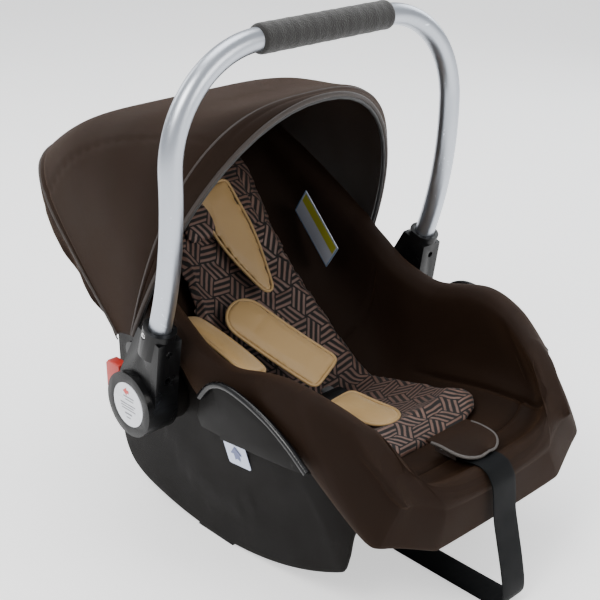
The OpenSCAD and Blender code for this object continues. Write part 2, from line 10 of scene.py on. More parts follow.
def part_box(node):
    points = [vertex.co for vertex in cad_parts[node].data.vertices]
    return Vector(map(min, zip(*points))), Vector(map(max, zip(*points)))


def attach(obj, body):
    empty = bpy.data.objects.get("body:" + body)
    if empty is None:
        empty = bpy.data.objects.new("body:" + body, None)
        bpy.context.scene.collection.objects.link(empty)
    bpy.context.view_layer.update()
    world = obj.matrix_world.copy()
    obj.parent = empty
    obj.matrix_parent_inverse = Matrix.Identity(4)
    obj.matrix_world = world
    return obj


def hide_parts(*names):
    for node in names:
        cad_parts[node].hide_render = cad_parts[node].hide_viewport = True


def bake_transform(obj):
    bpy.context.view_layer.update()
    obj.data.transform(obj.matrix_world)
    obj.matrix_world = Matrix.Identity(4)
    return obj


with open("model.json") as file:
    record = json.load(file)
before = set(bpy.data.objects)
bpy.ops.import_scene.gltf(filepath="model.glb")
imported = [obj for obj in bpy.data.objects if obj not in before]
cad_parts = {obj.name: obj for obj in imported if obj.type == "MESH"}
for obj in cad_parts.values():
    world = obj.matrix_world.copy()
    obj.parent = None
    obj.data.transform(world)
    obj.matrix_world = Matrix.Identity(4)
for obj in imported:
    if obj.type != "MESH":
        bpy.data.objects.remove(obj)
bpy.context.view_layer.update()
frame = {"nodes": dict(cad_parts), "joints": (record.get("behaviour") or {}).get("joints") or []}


# ==== Studio ====
# A pale floor, large soft lamps and a camera above the near front corner of the seat.
# Nothing here belongs to the seat itself.
scene = bpy.context.scene


def aim(thing, eye, forward):
    """Stands a camera or lamp at eye so that its own -Z axis points along forward."""
    back = -Vector(forward).normalized()
    right = Vector((0, 0, 1)).cross(back).normalized()
    rise = back.cross(right)
    thing.matrix_world = Matrix.Translation(eye) @ Matrix((right, rise, back)).transposed().to_4x4()


camera = bpy.data.objects.new("camera", bpy.data.cameras.new("camera"))
camera.data.sensor_width = 36
camera.data.lens = 73.33
scene.collection.objects.link(camera)
aim(camera, (-0.878, -0.9276, 0.8105), (0.62679, 0.6648, -0.40641))
scene.camera = camera

for name, eye, size, watts, tint in [
    ("key_lamp", (-1.5, -0.3, 1.9), 1.1, 34, (1, 0.98, 0.95)),
    ("top_lamp", (0.2, 0.5, 2.3), 1.6, 30, (1, 1, 1)),
    ("front_lamp", (0.5, -2.1, 1.1), 1.2, 20, (1, 0.97, 0.93)),
    ("side_lamp", (2.0, 0.3, 1.2), 1.2, 14, (0.92, 0.96, 1)),
    ("back_lamp", (-0.4, 2.2, 1.4), 1.3, 14, (1, 1, 1)),
]:
    lamp = bpy.data.lights.new(name, "AREA")
    lamp.shape = "DISK"
    lamp.size = size
    lamp.energy = watts
    lamp.color = tint
    stand = bpy.data.objects.new(name, lamp)
    scene.collection.objects.link(stand)
    aim(stand, eye, Vector((0, 0, 0.25)) - Vector(eye))

world = bpy.data.worlds.new("pale_room")
world.use_nodes = True
world.node_tree.nodes["Background"].inputs["Color"].default_value = (0.95, 0.97, 1, 1)
world.node_tree.nodes["Background"].inputs["Strength"].default_value = 0.75
scene.world = world


def add(tree, kind, inputs=None, **settings):
    """Puts one node in a tree; an input is a plain value or another node's output."""
    node = tree.nodes.new(kind)
    for key, value in settings.items():
        setattr(node, key, value)
    for key, value in (inputs or {}).items():
        if isinstance(value, bpy.types.NodeSocket):
            tree.links.new(value, node.inputs[key])
        else:
            node.inputs[key].default_value = value
    return node


def work(tree, operation, a, b=0.0, c=0.0):
    """Output of one Math node."""
    return add(tree, "ShaderNodeMath", {0: a, 1: b, 2: c}, operation=operation).outputs[0]


def mixed(tree, factor, a, b):
    """Colour between a and b."""
    return add(tree, "ShaderNodeMix", {0: factor, 6: a, 7: b}, data_type="RGBA").outputs[2]


def effect(name, inputs, outputs):
    """An empty effect group with named sockets, its tree, its input sockets and its output node."""
    tree = bpy.data.node_groups.new(name, "ShaderNodeTree")
    kinds = {"v": "NodeSocketVector", "f": "NodeSocketFloat", "c": "NodeSocketColor"}
    for key, kind in inputs.items():
        tree.interface.new_socket(name=key, in_out="INPUT", socket_type=kinds[kind])
    for key, kind in outputs.items():
        tree.interface.new_socket(name=key, in_out="OUTPUT", socket_type=kinds[kind])
    return tree, tree.nodes.new("NodeGroupInput").outputs, tree.nodes.new("NodeGroupOutput")


# Mottling: soft patches between two colours and between two roughnesses.
mottle, given, out = effect(
    "mottle",
    {"Place": "v", "Size": "f", "Dark": "c", "Light": "c", "Smooth": "f", "Rough": "f"},
    {"Colour": "c", "Roughness": "f"},
)
patches = add(mottle, "ShaderNodeTexNoise", {"Vector": given["Place"], "Scale": given["Size"], "Detail": 5.0})
mottle.links.new(mixed(mottle, patches.outputs[0], given["Dark"], given["Light"]), out.inputs["Colour"])
span = add(mottle, "ShaderNodeMapRange", {0: patches.outputs[0], 1: 0.3, 2: 0.7, 3: given["Smooth"],
                                          4: given["Rough"]})
mottle.links.new(span.outputs[0], out.inputs["Roughness"])

# Moulded grain: fine pebbles as plastic and foam skins have.
pebble, given, out = effect("pebble", {"Place": "v", "Size": "f"}, {"Height": "f"})
cells = add(pebble, "ShaderNodeTexVoronoi", {"Vector": given["Place"], "Scale": given["Size"]})
dust = add(pebble, "ShaderNodeTexNoise", {"Vector": given["Place"], "Scale": given["Size"], "Detail": 3.0})
pebble.links.new(work(pebble, "ADD", cells.outputs["Distance"], dust.outputs[0]), out.inputs["Height"])

# Knit: two crossed rows of threads; Place is in metres on the cloth, Threads the number in a metre.
knit, given, out = effect("knit", {"Place": "v", "Threads": "f"}, {"Height": "f", "Thread": "f"})
split = add(knit, "ShaderNodeSeparateXYZ", {0: given["Place"]})
turns = work(knit, "MULTIPLY", given["Threads"], 2 * math.pi)
warp = work(knit, "SINE", work(knit, "MULTIPLY", split.outputs[0], turns))
weft = work(knit, "SINE", work(knit, "MULTIPLY", split.outputs[1], turns))
cross = work(knit, "MULTIPLY", warp, weft)
knit.links.new(work(knit, "MULTIPLY_ADD", cross, 0.5, 0.5), out.inputs["Height"])
knit.links.new(work(knit, "ABSOLUTE", cross), out.inputs["Thread"])

# Handling wear: sparse short scuffs, 1 on a scuff and 0 elsewhere.
scuffs, given, out = effect("scuffs", {"Place": "v", "Amount": "f"}, {"Mask": "f"})
long_way = add(scuffs, "ShaderNodeMapping", {"Vector": given["Place"], "Scale": (60, 700, 240)})
lines = add(scuffs, "ShaderNodeTexNoise", {"Vector": long_way.outputs[0], "Scale": 1.0, "Detail": 2.0})
spots = add(scuffs, "ShaderNodeTexNoise", {"Vector": given["Place"], "Scale": 35.0, "Detail": 2.0})
both_on = work(scuffs, "MULTIPLY", lines.outputs[0], spots.outputs[0])
edge = work(scuffs, "SUBTRACT", 0.42, given["Amount"])
scuffs.links.new(work(scuffs, "SMOOTH_MAX",
                      work(scuffs, "MULTIPLY", work(scuffs, "SUBTRACT", both_on, edge), 18.0), 0.0, 0.05),
                 out.inputs["Mask"])


def group(tree, which, **inputs):
    """One use of an effect group."""
    node = add(tree, "ShaderNodeGroup")
    node.node_tree = which
    for key, value in inputs.items():
        if isinstance(value, bpy.types.NodeSocket):
            tree.links.new(value, node.inputs[key])
        else:
            node.inputs[key].default_value = value
    return node.outputs


def finish(name, dark, light, rough=(0.5, 0.6), size=30.0, shader=None, bump=None, wear=0.0, place="Object"):
    """A material that mottles between two colours, with a bump of (effect, size, depth in metres) and
    scuffs.
    place is Object, UV, or the name of an attribute that holds metres on the cloth."""
    stuff = bpy.data.materials.new(name)
    stuff.use_nodes = True
    tree = stuff.node_tree
    skin = tree.nodes["Principled BSDF"]
    where = add(tree, "ShaderNodeTexCoord").outputs["Object"]
    cloth_place = where
    if place == "UV":
        cloth_place = add(tree, "ShaderNodeTexCoord").outputs["UV"]
    elif place != "Object":
        cloth_place = add(tree, "ShaderNodeAttribute", attribute_name=place).outputs["Vector"]
    base = group(tree, mottle, Place=where, Size=size, Dark=(*dark, 1), Light=(*light, 1), Smooth=rough[0],
                 Rough=rough[1])
    colour = base["Colour"]
    if bump:
        kind, fine, depth = bump
        if kind == "pebble":
            height = group(tree, pebble, Place=cloth_place, Size=fine)["Height"]
        else:
            woven = group(tree, knit, Place=cloth_place, Threads=fine)
            height = woven["Height"]
            colour = mixed(tree, work(tree, "MULTIPLY", woven["Thread"], 0.35), colour, (*dark, 1))
        relief = add(tree, "ShaderNodeBump", {"Height": height, "Distance": depth, "Strength": 0.8})
        tree.links.new(relief.outputs[0], skin.inputs["Normal"])
    if wear:
        mask = group(tree, scuffs, Place=where, Amount=wear)["Mask"]
        paler = tuple(min(1.0, c * 1.5 + 0.01) for c in light)
        colour = mixed(tree, work(tree, "MULTIPLY", mask, 0.5), colour, (*paler, 1))
    tree.links.new(colour, skin.inputs["Base Color"])
    tree.links.new(base["Roughness"], skin.inputs["Roughness"])
    for key, value in (shader or {}).items():
        skin.inputs[key].default_value = value
    return stuff


def surface(name, grid, wrap=False, caps=False, stuff=None, uv=None, solid=None):
    """Mesh over points (rows, columns, 3). Quads join neighbours and wrap joins the last column to the
    first.
    caps closes both ends, each with one face, or with a strip across a ring that doubles back at its middle.
    The UV map is the length in metres along each row and each column."""
    rows, cols = grid.shape[:2]
    index = np.arange(rows * cols).reshape(rows, cols)
    across = np.column_stack([index, index[:, :1]]) if wrap else index
    points = grid.reshape(-1, 3)
    if uv is None:
        at = points[across]
        u = np.cumsum(np.linalg.norm(np.diff(at, axis=1, prepend=at[:, :1]), axis=2), axis=1)
        v = np.cumsum(np.linalg.norm(np.diff(at, axis=0, prepend=at[:1]), axis=2), axis=0)
        uv = np.stack([u, v], -1)
    corners = [(slice(None, -1), slice(None, -1)), (slice(None, -1), slice(1, None)),
               (slice(1, None), slice(1, None)), (slice(1, None), slice(None, -1))]
    quads = np.stack([across[c] for c in corners], -1).reshape(-1, 4)
    laid = np.stack([uv[c] for c in corners], 2).reshape(-1, 2)
    faces = quads.tolist()
    if caps == "strip":
        j = np.arange(cols // 2 - 1)
        strip = np.stack([j, cols - 1 - j, cols - 2 - j, j + 1], -1)
        ends = np.concatenate([strip, strip[:, ::-1] + (rows - 1) * cols])
        faces += ends.tolist()
        laid = np.concatenate([laid, points[ends.ravel()][:, :2]])
    elif caps:
        faces += [index[0][::-1].tolist(), index[-1].tolist()]
        ends = np.concatenate([points[index[0][::-1]], points[index[-1]]])
        laid = np.concatenate([laid, ends[:, :2]])
    mesh = bpy.data.meshes.new(name)
    mesh.from_pydata(points.tolist(), [], faces)
    mesh.uv_layers.new(name="cloth").uv.foreach_set("vector", laid.astype(np.float32).ravel())
    return placed(name, mesh, stuff, solid=caps or wrap if solid is None else solid)


def placed(name, mesh, stuff, sharp=45, solid=True):
    """Turns a closed mesh outwards, shades it and puts it in the scene."""
    if solid:
        mesh.calc_loop_triangles()
        points = np.array([v.co for v in mesh.vertices])
        corner = points[np.array([t.vertices[:] for t in mesh.loop_triangles])]
        if np.einsum("ij,ij->i", corner[:, 0], np.cross(corner[:, 1], corner[:, 2])).sum() < 0:
            mesh.flip_normals()
    mesh.shade_smooth()
    mesh.set_sharp_from_angle(angle=math.radians(sharp))
    piece = bpy.data.objects.new(name, mesh)
    scene.collection.objects.link(piece)
    if stuff:
        mesh.materials.append(stuff)
    return piece


floor_grid = np.stack(np.meshgrid([-9.0, 9.0], [-9.0, 9.0], indexing="xy") + [np.zeros((2, 2))], -1)
floor_paint = finish("floor_paint", (0.86, 0.86, 0.86), (0.9, 0.9, 0.9), (0.7, 0.8), 3.0,
                     {"Emission Color": (1, 1, 1, 1), "Emission Strength": 0.8, "Specular IOR Level": 0.1})
surface("floor", floor_grid, stuff=floor_paint)


# ==== Seat shell ====
# One dark polypropylene moulding: a deep bucket whose sides run down into curved rockers.
# It is drawn as sections through a line across the seat, which turn from the head end to the foot.
joints = {j["name"]: np.array(j["pos_m"]) for j in frame["joints"] if "pos_m" in j}
hub_at = joints["handle_turn"]
pole = hub_at + (0, -0.045, 0.291)
RIM = [(16, 268), (23, 230), (38, 202), (56, 196), (76, 212), (90, 236), (102, 250), (114, 254), (122, 268),
       (128, 304), (133, 350)]
FLOOR = [(16, 300), (27, 285), (33, 279), (50, 283), (63, 302), (76, 342), (83, 374), (90, 404), (98, 399),
         (109, 396), (117, 402), (123, 414), (128, 436), (133, 425)]
ROCKER = [(16, 292), (33, 280), (42, 290), (54, 314), (61, 360), (65, 412), (68, 446), (71, 464), (76, 469),
          (116, 461), (118, 448), (121, 422), (124, 415), (128, 408), (133, 380)]
POLE_HEIGHT = 470


def curve(table, x):
    """Smooth cubic through a table's points, with the slope at each that of the line between its
    neighbours."""
    px, py = np.array(table, float).T
    slope = np.zeros_like(py)
    slope[1:-1] = (py[2:] - py[:-2]) / (px[2:] - px[:-2])
    slope[0] = (py[1] - py[0]) / (px[1] - px[0])
    slope[-1] = (py[-1] - py[-2]) / (px[-1] - px[-2])
    x = np.asarray(x, float)
    i = np.clip(np.searchsorted(px, x, "right") - 1, 0, len(px) - 2)
    h = px[i + 1] - px[i]
    u = (x - px[i]) / h
    ends = (1 + 2 * u) * (1 - u) ** 2 * py[i] + u * u * (3 - 2 * u) * py[i + 1]
    return ends + h * (u * (1 - u) ** 2 * slope[i] - u * u * (1 - u) * slope[i + 1])


def spot(x, r, a):
    """Millimetres across and away from the pole, at an angle below the rearward level line, as a point
    in metres."""
    x, r, a = np.broadcast_arrays(x, r, np.radians(a))
    return np.stack([x / 1000, pole[1] + r * np.cos(a) / 1000, pole[2] - r * np.sin(a) / 1000], -1)


def bucket(w, top, low, n, start=0.0):
    """Half a section of the bowl: x = w cos(t)^1/2, depth = (low - top) sin(t)^1/2, from the rim to the
    middle."""
    t = np.radians(np.asarray(start) + (90 - np.asarray(start)) * (np.arange(n + 1) / n)[:, None]).T
    t = np.broadcast_to(t, (len(w), n + 1))
    return np.stack([w[:, None] * np.cos(t) ** 0.5, top[:, None] + (low - top)[:, None] * np.sin(t) ** 0.5],
                    -1)


def line_of(*points):
    """Section points (x, r), each a number or one value for every section, as (sections, points, 2)."""
    return np.stack([np.stack(np.broadcast_arrays(*(np.asarray(c, float) for c in p)), -1) for p in points],
                    1)


def both(half):
    """A half section and its mirror image, from the right rim over the middle to the left."""
    return np.concatenate([half, half[:, -2::-1] * (-1, 1)], 1)


def rounded(rings, steps):
    """Closed uniform cubic B-spline round the points of each ring, sampled at steps in units of points."""
    k = rings.shape[1]
    i = np.floor(steps).astype(int)
    u = (steps - i)[:, None]
    p = [rings[:, (i + s) % k] for s in (-1, 0, 1, 2)]
    return (p[0] * (1 - u) ** 3 + p[1] * (3 * u**3 - 6 * u**2 + 4)
            + p[2] * (-3 * u**3 + 3 * u**2 + 3 * u + 1) + p[3] * u**3) / 6


def shell_w(a):
    """Half the width of the bucket: it narrows to the head end and rounds off at the foot."""
    return 167 - np.where(a < 68, (68 - a) * 0.65, 0) - np.where(a > 119, (a - 119) ** 2 * 0.16, 0)


def inside_by(points, outline):
    """Distance inside a closed outline in the Y-Z plane, negative outside it."""
    a = np.array(outline, float)
    b = np.roll(a, -1, axis=0)
    p = points[..., None, :]
    along = np.clip(((p - a) * (b - a)).sum(-1) / ((b - a) ** 2).sum(-1), 0, 1)
    gap = np.linalg.norm(p - a - along[..., None] * (b - a), axis=-1).min(-1)
    crossing = (a[:, 1] > p[..., 1]) != (b[:, 1] > p[..., 1])
    level = (b[:, 1] - a[:, 1]) + 1e-12
    side = p[..., 0] < (b[:, 0] - a[:, 0]) * (p[..., 1] - a[:, 1]) / level + a[:, 0]
    return np.where((crossing & side).sum(-1) % 2 == 1, gap, -gap)


# The sides carry a raised field that ends in a curved crease below the hub and the belt guide.
FIELD = [(0.086, 0.24), (0.083, 0.16), (0.066, 0.122), (0.052, 0.102), (0.026, 0.068), (-0.008, 0.051),
         (-0.039, 0.052), (-0.069, 0.064), (-0.113, 0.101), (-0.15, 0.113), (-0.2, 0.118), (-0.23, 0.24)]

a = np.linspace(18, 126, 200)
w, top, low = shell_w(a), curve(RIM, a), curve(FLOOR, a)
foot = np.minimum(curve(ROCKER, a), POLE_HEIGHT / np.sin(np.radians(a)))
foot_x = w - 17
under_from = np.degrees(np.arccos(((foot_x - 9) / (w - 1)) ** 2))
side = line_of((w - 2, top), (w, top + 0.5), (w + 0.6, top + 6), (w + 1, top + 14),
               (w + 0.8, (3 * top + foot) / 4),
               (w, (2 * top + foot) / 3), ((w + foot_x + 4) / 2, (top + foot) / 2),
               (foot_x + 5, (top + 3 * foot) / 4),
               (foot_x + 2, (top + 8 * foot) / 9), (foot_x + 0.6, foot - 9), (foot_x, foot - 3),
               (foot_x - 0.3, foot - 0.6),
               (foot_x - 1.5, foot), (foot_x - 4.2, foot), (foot_x - 5.2, foot - 1), (foot_x - 6, foot - 8))
under = bucket(w - 1, top, low, 9, under_from)
inside = bucket(w - 4, top, low - 4, 14)
ring = np.concatenate([both(np.concatenate([side, under], 1)), both(inside)[:, ::-1]], 1)
turned_at = 2 * (side.shape[1] + under.shape[1]) - 1
steps = np.concatenate([np.linspace(0, turned_at - 1, 150), np.linspace(turned_at, ring.shape[1] - 1, 150)])
section = rounded(ring, steps)
body = spot(section[..., 0], section[..., 1], a[:, None])
proud = np.clip(inside_by(body[..., 1:], FIELD) / 0.004 + 0.5, 0, 1)
outer_face = np.clip((np.abs(section[..., 0]) - foot_x[:, None] + 1) / 2, 0, 1)
body[..., 0] += np.sign(section[..., 0]) * 0.0016 * proud * proud * (3 - 2 * proud) * outer_face
shell_stuff = finish("moulded_brown_plastic", (0.0032, 0.0026, 0.0022), (0.005, 0.004, 0.0034), (0.5, 0.6),
                     22.0,
                     {"Specular IOR Level": 0.06}, ("pebble", 1500.0, 0.0002), wear=0.05)
shell = surface("seat_shell_body", body, wrap=True, caps="strip", stuff=shell_stuff)
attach(shell, "seat")
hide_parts("seat_shell")


def dress(stuff, *names):
    """Gives CAD nodes that are shown as they are their real finish."""
    for node in names:
        mesh = frame["nodes"][node].data
        mesh.materials.clear()
        mesh.materials.append(stuff)


rubber = finish("foot_rubber", (0.012, 0.012, 0.012), (0.02, 0.02, 0.02), (0.7, 0.85), 60.0, None,
                ("pebble", 900.0, 0.0002))
dress(rubber, "rocker_feet")
bead_foam = finish("bead_foam", (0.8, 0.8, 0.79), (0.9, 0.9, 0.89), (0.75, 0.9), 40.0, None,
                   ("pebble", 260.0, 0.0005))
dress(bead_foam, "foam_liner")


# ==== Padded cover ====
# One cover of brushed chocolate knit over soft foam. It lines the bowl, rolls thickly over the rim and is
# elasticated under its outer edge. Sewn seams part the wings from the seat panel and the front lip.
BAND = [(16, 296), (22, 296), (46, 281), (60, 270), (68, 262), (74, 256), (84, 256), (88, 262), (91, 277),
        (94, 285),
        (112, 292), (118, 306), (121, 328), (123, 368), (124.5, 416), (127, 436), (131, 440)]
WING = [(16, 0.5), (36, 0.45), (45, 0.3), (60, 0.1), (74, 0.1), (80, 0.35), (88, 0.72), (94, 0.72),
        (112, 0.66),
        (121, 0.95), (133, 1)]
SEAM = [(96, 128), (104, 127), (112, 124), (120, 120), (126, 116), (131, 112)]
NOSE = [(126.5, 1), (128, 0.985), (129.2, 0.94), (130, 0.86), (130.6, 0.72), (130.9, 0.5), (131, 0.2)]


def cover_lines(a):
    """The upper and lower lines of the cover's section, in step with each other."""
    w, top, low = shell_w(a), curve(RIM, a) - 0.4, curve(FLOOR, a)
    tuck = np.maximum(0, a - 126) ** 1.5 * 2.3
    forward = np.maximum(0.01, -np.cos(np.radians(a)))
    edge = np.minimum(np.maximum(curve(BAND, a), top + 20), 264 / forward)
    outer = w + 15 * curve(WING, a)
    edge_x = outer - 6 - tuck * 1.2
    roll = line_of((edge_x - 2, edge + 0.5), (edge_x + 1, edge - 1), (outer + 1 - tuck, (top + 3 * edge) / 4),
                   (outer + 2.6 - tuck, (top + edge) / 2), (outer + 3 - tuck / 2, (3 * top + edge) / 4),
                   (outer + 1.5 - tuck / 2, (7 * top + edge) / 8), (outer - 2.5 - tuck / 3, top - 3),
                   (outer - 8 - tuck / 3, top - 8.6), (w + 1 - tuck / 3, top - 11.4), (w - 8, top - 11),
                   (w - 15, top - 8.6), (w - 20.5, top - 3))
    bowl = bucket(w - 24.8, top + 3, low - 24.8, 22)
    upper = np.concatenate([roll, bowl], 1)
    back = line_of((w + 2, edge - 0.5), (w + 2, edge - 1.5), (w + 2, (top + 3 * edge) / 4),
                   (w + 2, (top + edge) / 2),
                   (w + 2, (3 * top + edge) / 4), (w + 2, (7 * top + edge) / 8), (w + 2, top + 3),
                   (w + 1.5, top),
                   (w, top - 1), (w - 7, top - 1), (w - 14, top - 1), (w - 17, top))
    lining = bucket(w - 18.8, top + 3, low - 18.8, 22)
    k = np.arange(upper.shape[1]) / (upper.shape[1] - 1)
    lip_r = 283 / forward
    lip = np.stack([(edge_x - 3)[:, None] * (1 - k),
                    edge[:, None] + 1 + (lip_r - edge - 1)[:, None] * np.minimum(1, k * 2.7)], -1)
    onto = np.clip((a - 125.5) / 1.5, 0, 1)[:, None, None]
    return upper, np.concatenate([back, lining], 1) * (1 - onto) + lip * onto


def normals_of(grid):
    """Unit normals of a grid that is closed along its columns."""
    along = np.gradient(grid, axis=0)
    across = np.roll(grid, -1, 1) - np.roll(grid, 1, 1)
    n = np.cross(across, along)
    return n / (np.linalg.norm(n, axis=2, keepdims=True) + 1e-12)


def groove(distance, width, depth):
    """A sewn channel: depth exp(-(distance / width)^2), with the cloth swelling a little beside it."""
    return depth * (np.exp(-((distance / width) ** 2))
                    - 0.18 * np.exp(-(((np.abs(distance) - 3.2 * width) / (2 * width)) ** 2)))


a = np.concatenate([np.linspace(16, 126, 160, endpoint=False), np.linspace(126, 131, 30)])
upper, lower = cover_lines(np.minimum(a, 130))
middle = (upper + lower) / 2
pinch = curve(NOSE, np.maximum(a, 126.5))[:, None, None]
head_pinch = np.sqrt(np.clip((a - 15.6) / 2.5, 0, 1))[:, None, None]
pinch = np.where(a[:, None, None] < 126.5, 1, pinch) * head_pinch
upper, lower = middle + (upper - middle) * pinch, middle + (lower - middle) * pinch
half = upper.shape[1]
ring = np.concatenate([both(upper), both(lower)[:, ::-1]], 1)
count = 2 * half - 1
steps = np.concatenate([np.linspace(0, count - 1, 250), np.linspace(count, 2 * count - 1, 250)])
section = rounded(ring, steps)
x, r = section[..., 0], section[..., 1]
body = spot(x, r, a[:, None])
ease = np.clip((a[1:-1] - 112) / 6, 0, 1)[:, None, None] * np.clip((127.5 - a[1:-1]) / 3, 0, 1)[:, None, None]
for _ in range(24):
    body[1:-1] += ((body[:-2] + body[2:]) / 2 - body[1:-1]) * 0.5 * ease
on_top = (np.arange(500) < 250)[None]
seam_x = curve(SEAM, a)[:, None]
aa = a[:, None] + 0 * x
lip_part = np.clip((aa - 96) / 8, 0, 1)
dip = groove(np.abs(x) - seam_x, 2.2, 4.4) * lip_part
dip += groove((aa - 124.6) * 7.0, 2.0, 2.8) * (np.abs(x) < seam_x)
dip += groove((aa - 79 - np.abs(x) * 0.02) * 6.0, 2.4,
              2.4) * (np.abs(x) > 60) * (r > curve(RIM, a)[:, None] + 14)
crown = 2.6 * np.clip(1 - (x / seam_x) ** 2, 0, 1) * np.exp(-(((aa - 127) / 5) ** 2))
rumple = 0.5 * np.sin(x * 0.055 + 1.3 * np.sin(aa * 0.19)) * np.sin(aa * 0.31 + x * 0.02)
lift = (crown + rumple - dip) * np.where(on_top, 1, 0)
outward = normals_of(body)
toward_pole = pole - body
facing = np.sign((outward * toward_pole)[:, 100:150].sum(-1).mean())
body = body + outward * facing * (lift / 1000)[..., None]
cover_stuff = finish("chocolate_knit", (0.0095, 0.0044, 0.0022), (0.0145, 0.0068, 0.0036), (0.6, 0.72), 18.0,
                     {"Sheen Weight": 0.1, "Sheen Roughness": 0.4, "Sheen Tint": (0.5, 0.26, 0.13, 1),
                      "Specular IOR Level": 0.1},
                     ("knit", 900.0, 0.0002), place="UV")
cover = surface("padded_cover", body, wrap=True, caps="strip", stuff=cover_stuff)
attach(cover, "seat")
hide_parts("seat_cover")


# ==== Newborn insert ====
# A thick removable cushion of patterned plush that follows the back and the seat, with a small head pillow.
# Its cover is two panels sewn round the edge over loose filling, with slots for the harness.
INSERT_W = [(24, 62), (30, 82), (60, 84), (80, 104), (100, 112), (115, 107), (118, 98), (120, 80)]


def plump(piece, voxel, pressure, cap, frames=20):
    """Remeshes a closed pad, blows it up gently as cloth and keeps every point within cap of where it
    was."""
    remesh = piece.modifiers.new("even", "REMESH")
    remesh.mode = "VOXEL"
    remesh.voxel_size = voxel
    remesh.use_smooth_shade = True
    apply_all(piece)
    start = points_of(piece.data)
    cloth = piece.modifiers.new("cloth", "CLOTH")
    cloth.settings.use_pressure = True
    cloth.settings.uniform_pressure_force = pressure
    cloth.settings.effector_weights.gravity = 0
    cloth.settings.quality = 4
    cloth.point_cache.frame_start = 1
    cloth.point_cache.frame_end = frames
    for step in range(1, frames + 1):
        scene.frame_set(step)
    apply_all(piece)
    scene.frame_set(1)
    moved = points_of(piece.data) - start
    far = np.linalg.norm(moved, axis=1, keepdims=True)
    set_points(piece.data, start + moved * np.minimum(1, cap / np.maximum(far, 1e-9)))
    return piece


def points_of(mesh):
    """A mesh's points as an array."""
    flat = np.empty(len(mesh.vertices) * 3, np.float32)
    mesh.vertices.foreach_get("co", flat)
    return flat.reshape(-1, 3).astype(float)


def set_points(mesh, points):
    """Moves a mesh's points."""
    mesh.vertices.foreach_set("co", points.astype(np.float32).ravel())
    mesh.update()


def apply_all(piece):
    """Makes a piece's modifiers its mesh."""
    mesh = bpy.data.meshes.new_from_object(piece.evaluated_get(bpy.context.evaluated_depsgraph_get()))
    piece.modifiers.clear()
    old = piece.data
    piece.data = mesh
    mesh.name = old.name
    bpy.data.meshes.remove(old)


def smoothed(piece):
    """Rounds a piece with one step of subdivision."""
    sub = piece.modifiers.new("round", "SUBSURF")
    sub.levels = sub.render_levels = 1
    apply_all(piece)
    piece.data.shade_smooth()
    return piece


def insert_ring(a, swell, shrink):
    """Section of the cushion: its underside follows the cover, its top is a low dome with thick rolled
    edges."""
    w = curve(INSERT_W, a) * shrink
    low = curve(FLOOR, a) - 26.5
    s = np.sin(np.linspace(1, -1, 22) * math.pi / 2)
    bed = low[:, None] - 16 * np.abs(s) ** 4
    dome = np.sqrt(np.clip(1.02 - s**10, 0, 1)) * (0.72 + 0.28 * np.abs(s) ** 3)
    under = np.stack([w[:, None] * s, bed + 0 * w[:, None]], -1)
    over = np.stack([w[:, None] * s[::-1], bed[:, ::-1] - swell[:, None] * dome], -1)
    return np.concatenate([under, over], 1)


a = np.concatenate([[24.2, 24.8], np.linspace(26, 118, 60), [119.2, 119.9]])
swell = 17 * curve([(24, 0.35), (26, 0.85), (30, 0.9), (66, 0.72), (84, 0.8), (104, 0.95), (111, 1.1),
                    (115, 1.55), (118, 1.5), (120, 0.6)], a)
section = rounded(insert_ring(a, swell, np.ones_like(a)), np.arange(0, 44, 0.7))
insert = surface("newborn_insert_pad", spot(section[..., 0], section[..., 1], a[:, None]), wrap=True,
                 caps=True)
plump(insert, 0.0055, 3.0, 0.006)
points = points_of(insert.data)
away = np.degrees(np.arctan2(pole[2] - points[:, 2], points[:, 1] - pole[1]))
radius = np.hypot(points[:, 1] - pole[1], pole[2] - points[:, 2])
stations = np.linspace(18, 126, 300)
run = spot(0, curve(FLOOR, stations) - 35, stations)
length = np.concatenate([[0], np.cumsum(np.linalg.norm(np.diff(run, axis=0), axis=1))])
v = np.interp(away, stations, length)
half_w = np.interp(away, a, curve(INSERT_W, a)) / 1000
near_edge = np.clip(1 - np.abs(half_w - 0.009 - np.abs(points[:, 0])) / 0.006, 0, 1)
gather = 0.0011 * np.sin(v * 420) * near_edge * (np.abs(points[:, 0]) > half_w * 0.6)
front_edge = np.clip(1 - np.abs(away - 116.5) / 2.2, 0, 1)
gather += 0.0011 * np.sin(points[:, 0] * 420) * front_edge
dent = 0.0045 * np.exp(-(((away - 62) / 5) ** 2)) * (np.abs(points[:, 0]) < half_w * 0.8)
slots = sum(np.exp(-(((v - at) / 0.0028) ** 2)) * (np.abs(np.abs(points[:, 0]) - 0.036) < 0.019)
            for at in (0.175, 0.235))
to_pole = np.stack([0 * v, pole[1] - points[:, 1], pole[2] - points[:, 2]], -1)
to_pole /= np.linalg.norm(to_pole, axis=1, keepdims=True)
top_side = np.array([n.vector[:] for n in insert.data.vertex_normals]) @ np.array([0, 0, 1.0]) > -0.2
set_points(insert.data, points + to_pole * ((gather - dent - 0.003 * slots) * top_side)[:, None])
smoothed(insert)


def lay_out(piece):
    """Stores for each point where it lies on the flat cloth: metres across, and metres along the seat's
    floor."""
    points = points_of(piece.data)
    away = np.degrees(np.arctan2(pole[2] - points[:, 2], points[:, 1] - pole[1]))
    deep = np.hypot(points[:, 1] - pole[1], pole[2] - points[:, 2]) - (curve(FLOOR, away) - 50) / 1000
    ahead = np.interp(away, stations, length) + np.maximum(0, deep) * np.clip((away - 115) / 2, 0, 1)
    flat = np.stack([points[:, 0], ahead, 0 * away], -1)
    stored = piece.data.attributes.new("flat_place", "FLOAT_VECTOR", "POINT")
    stored.data.foreach_set("vector", flat.astype(np.float32).ravel())


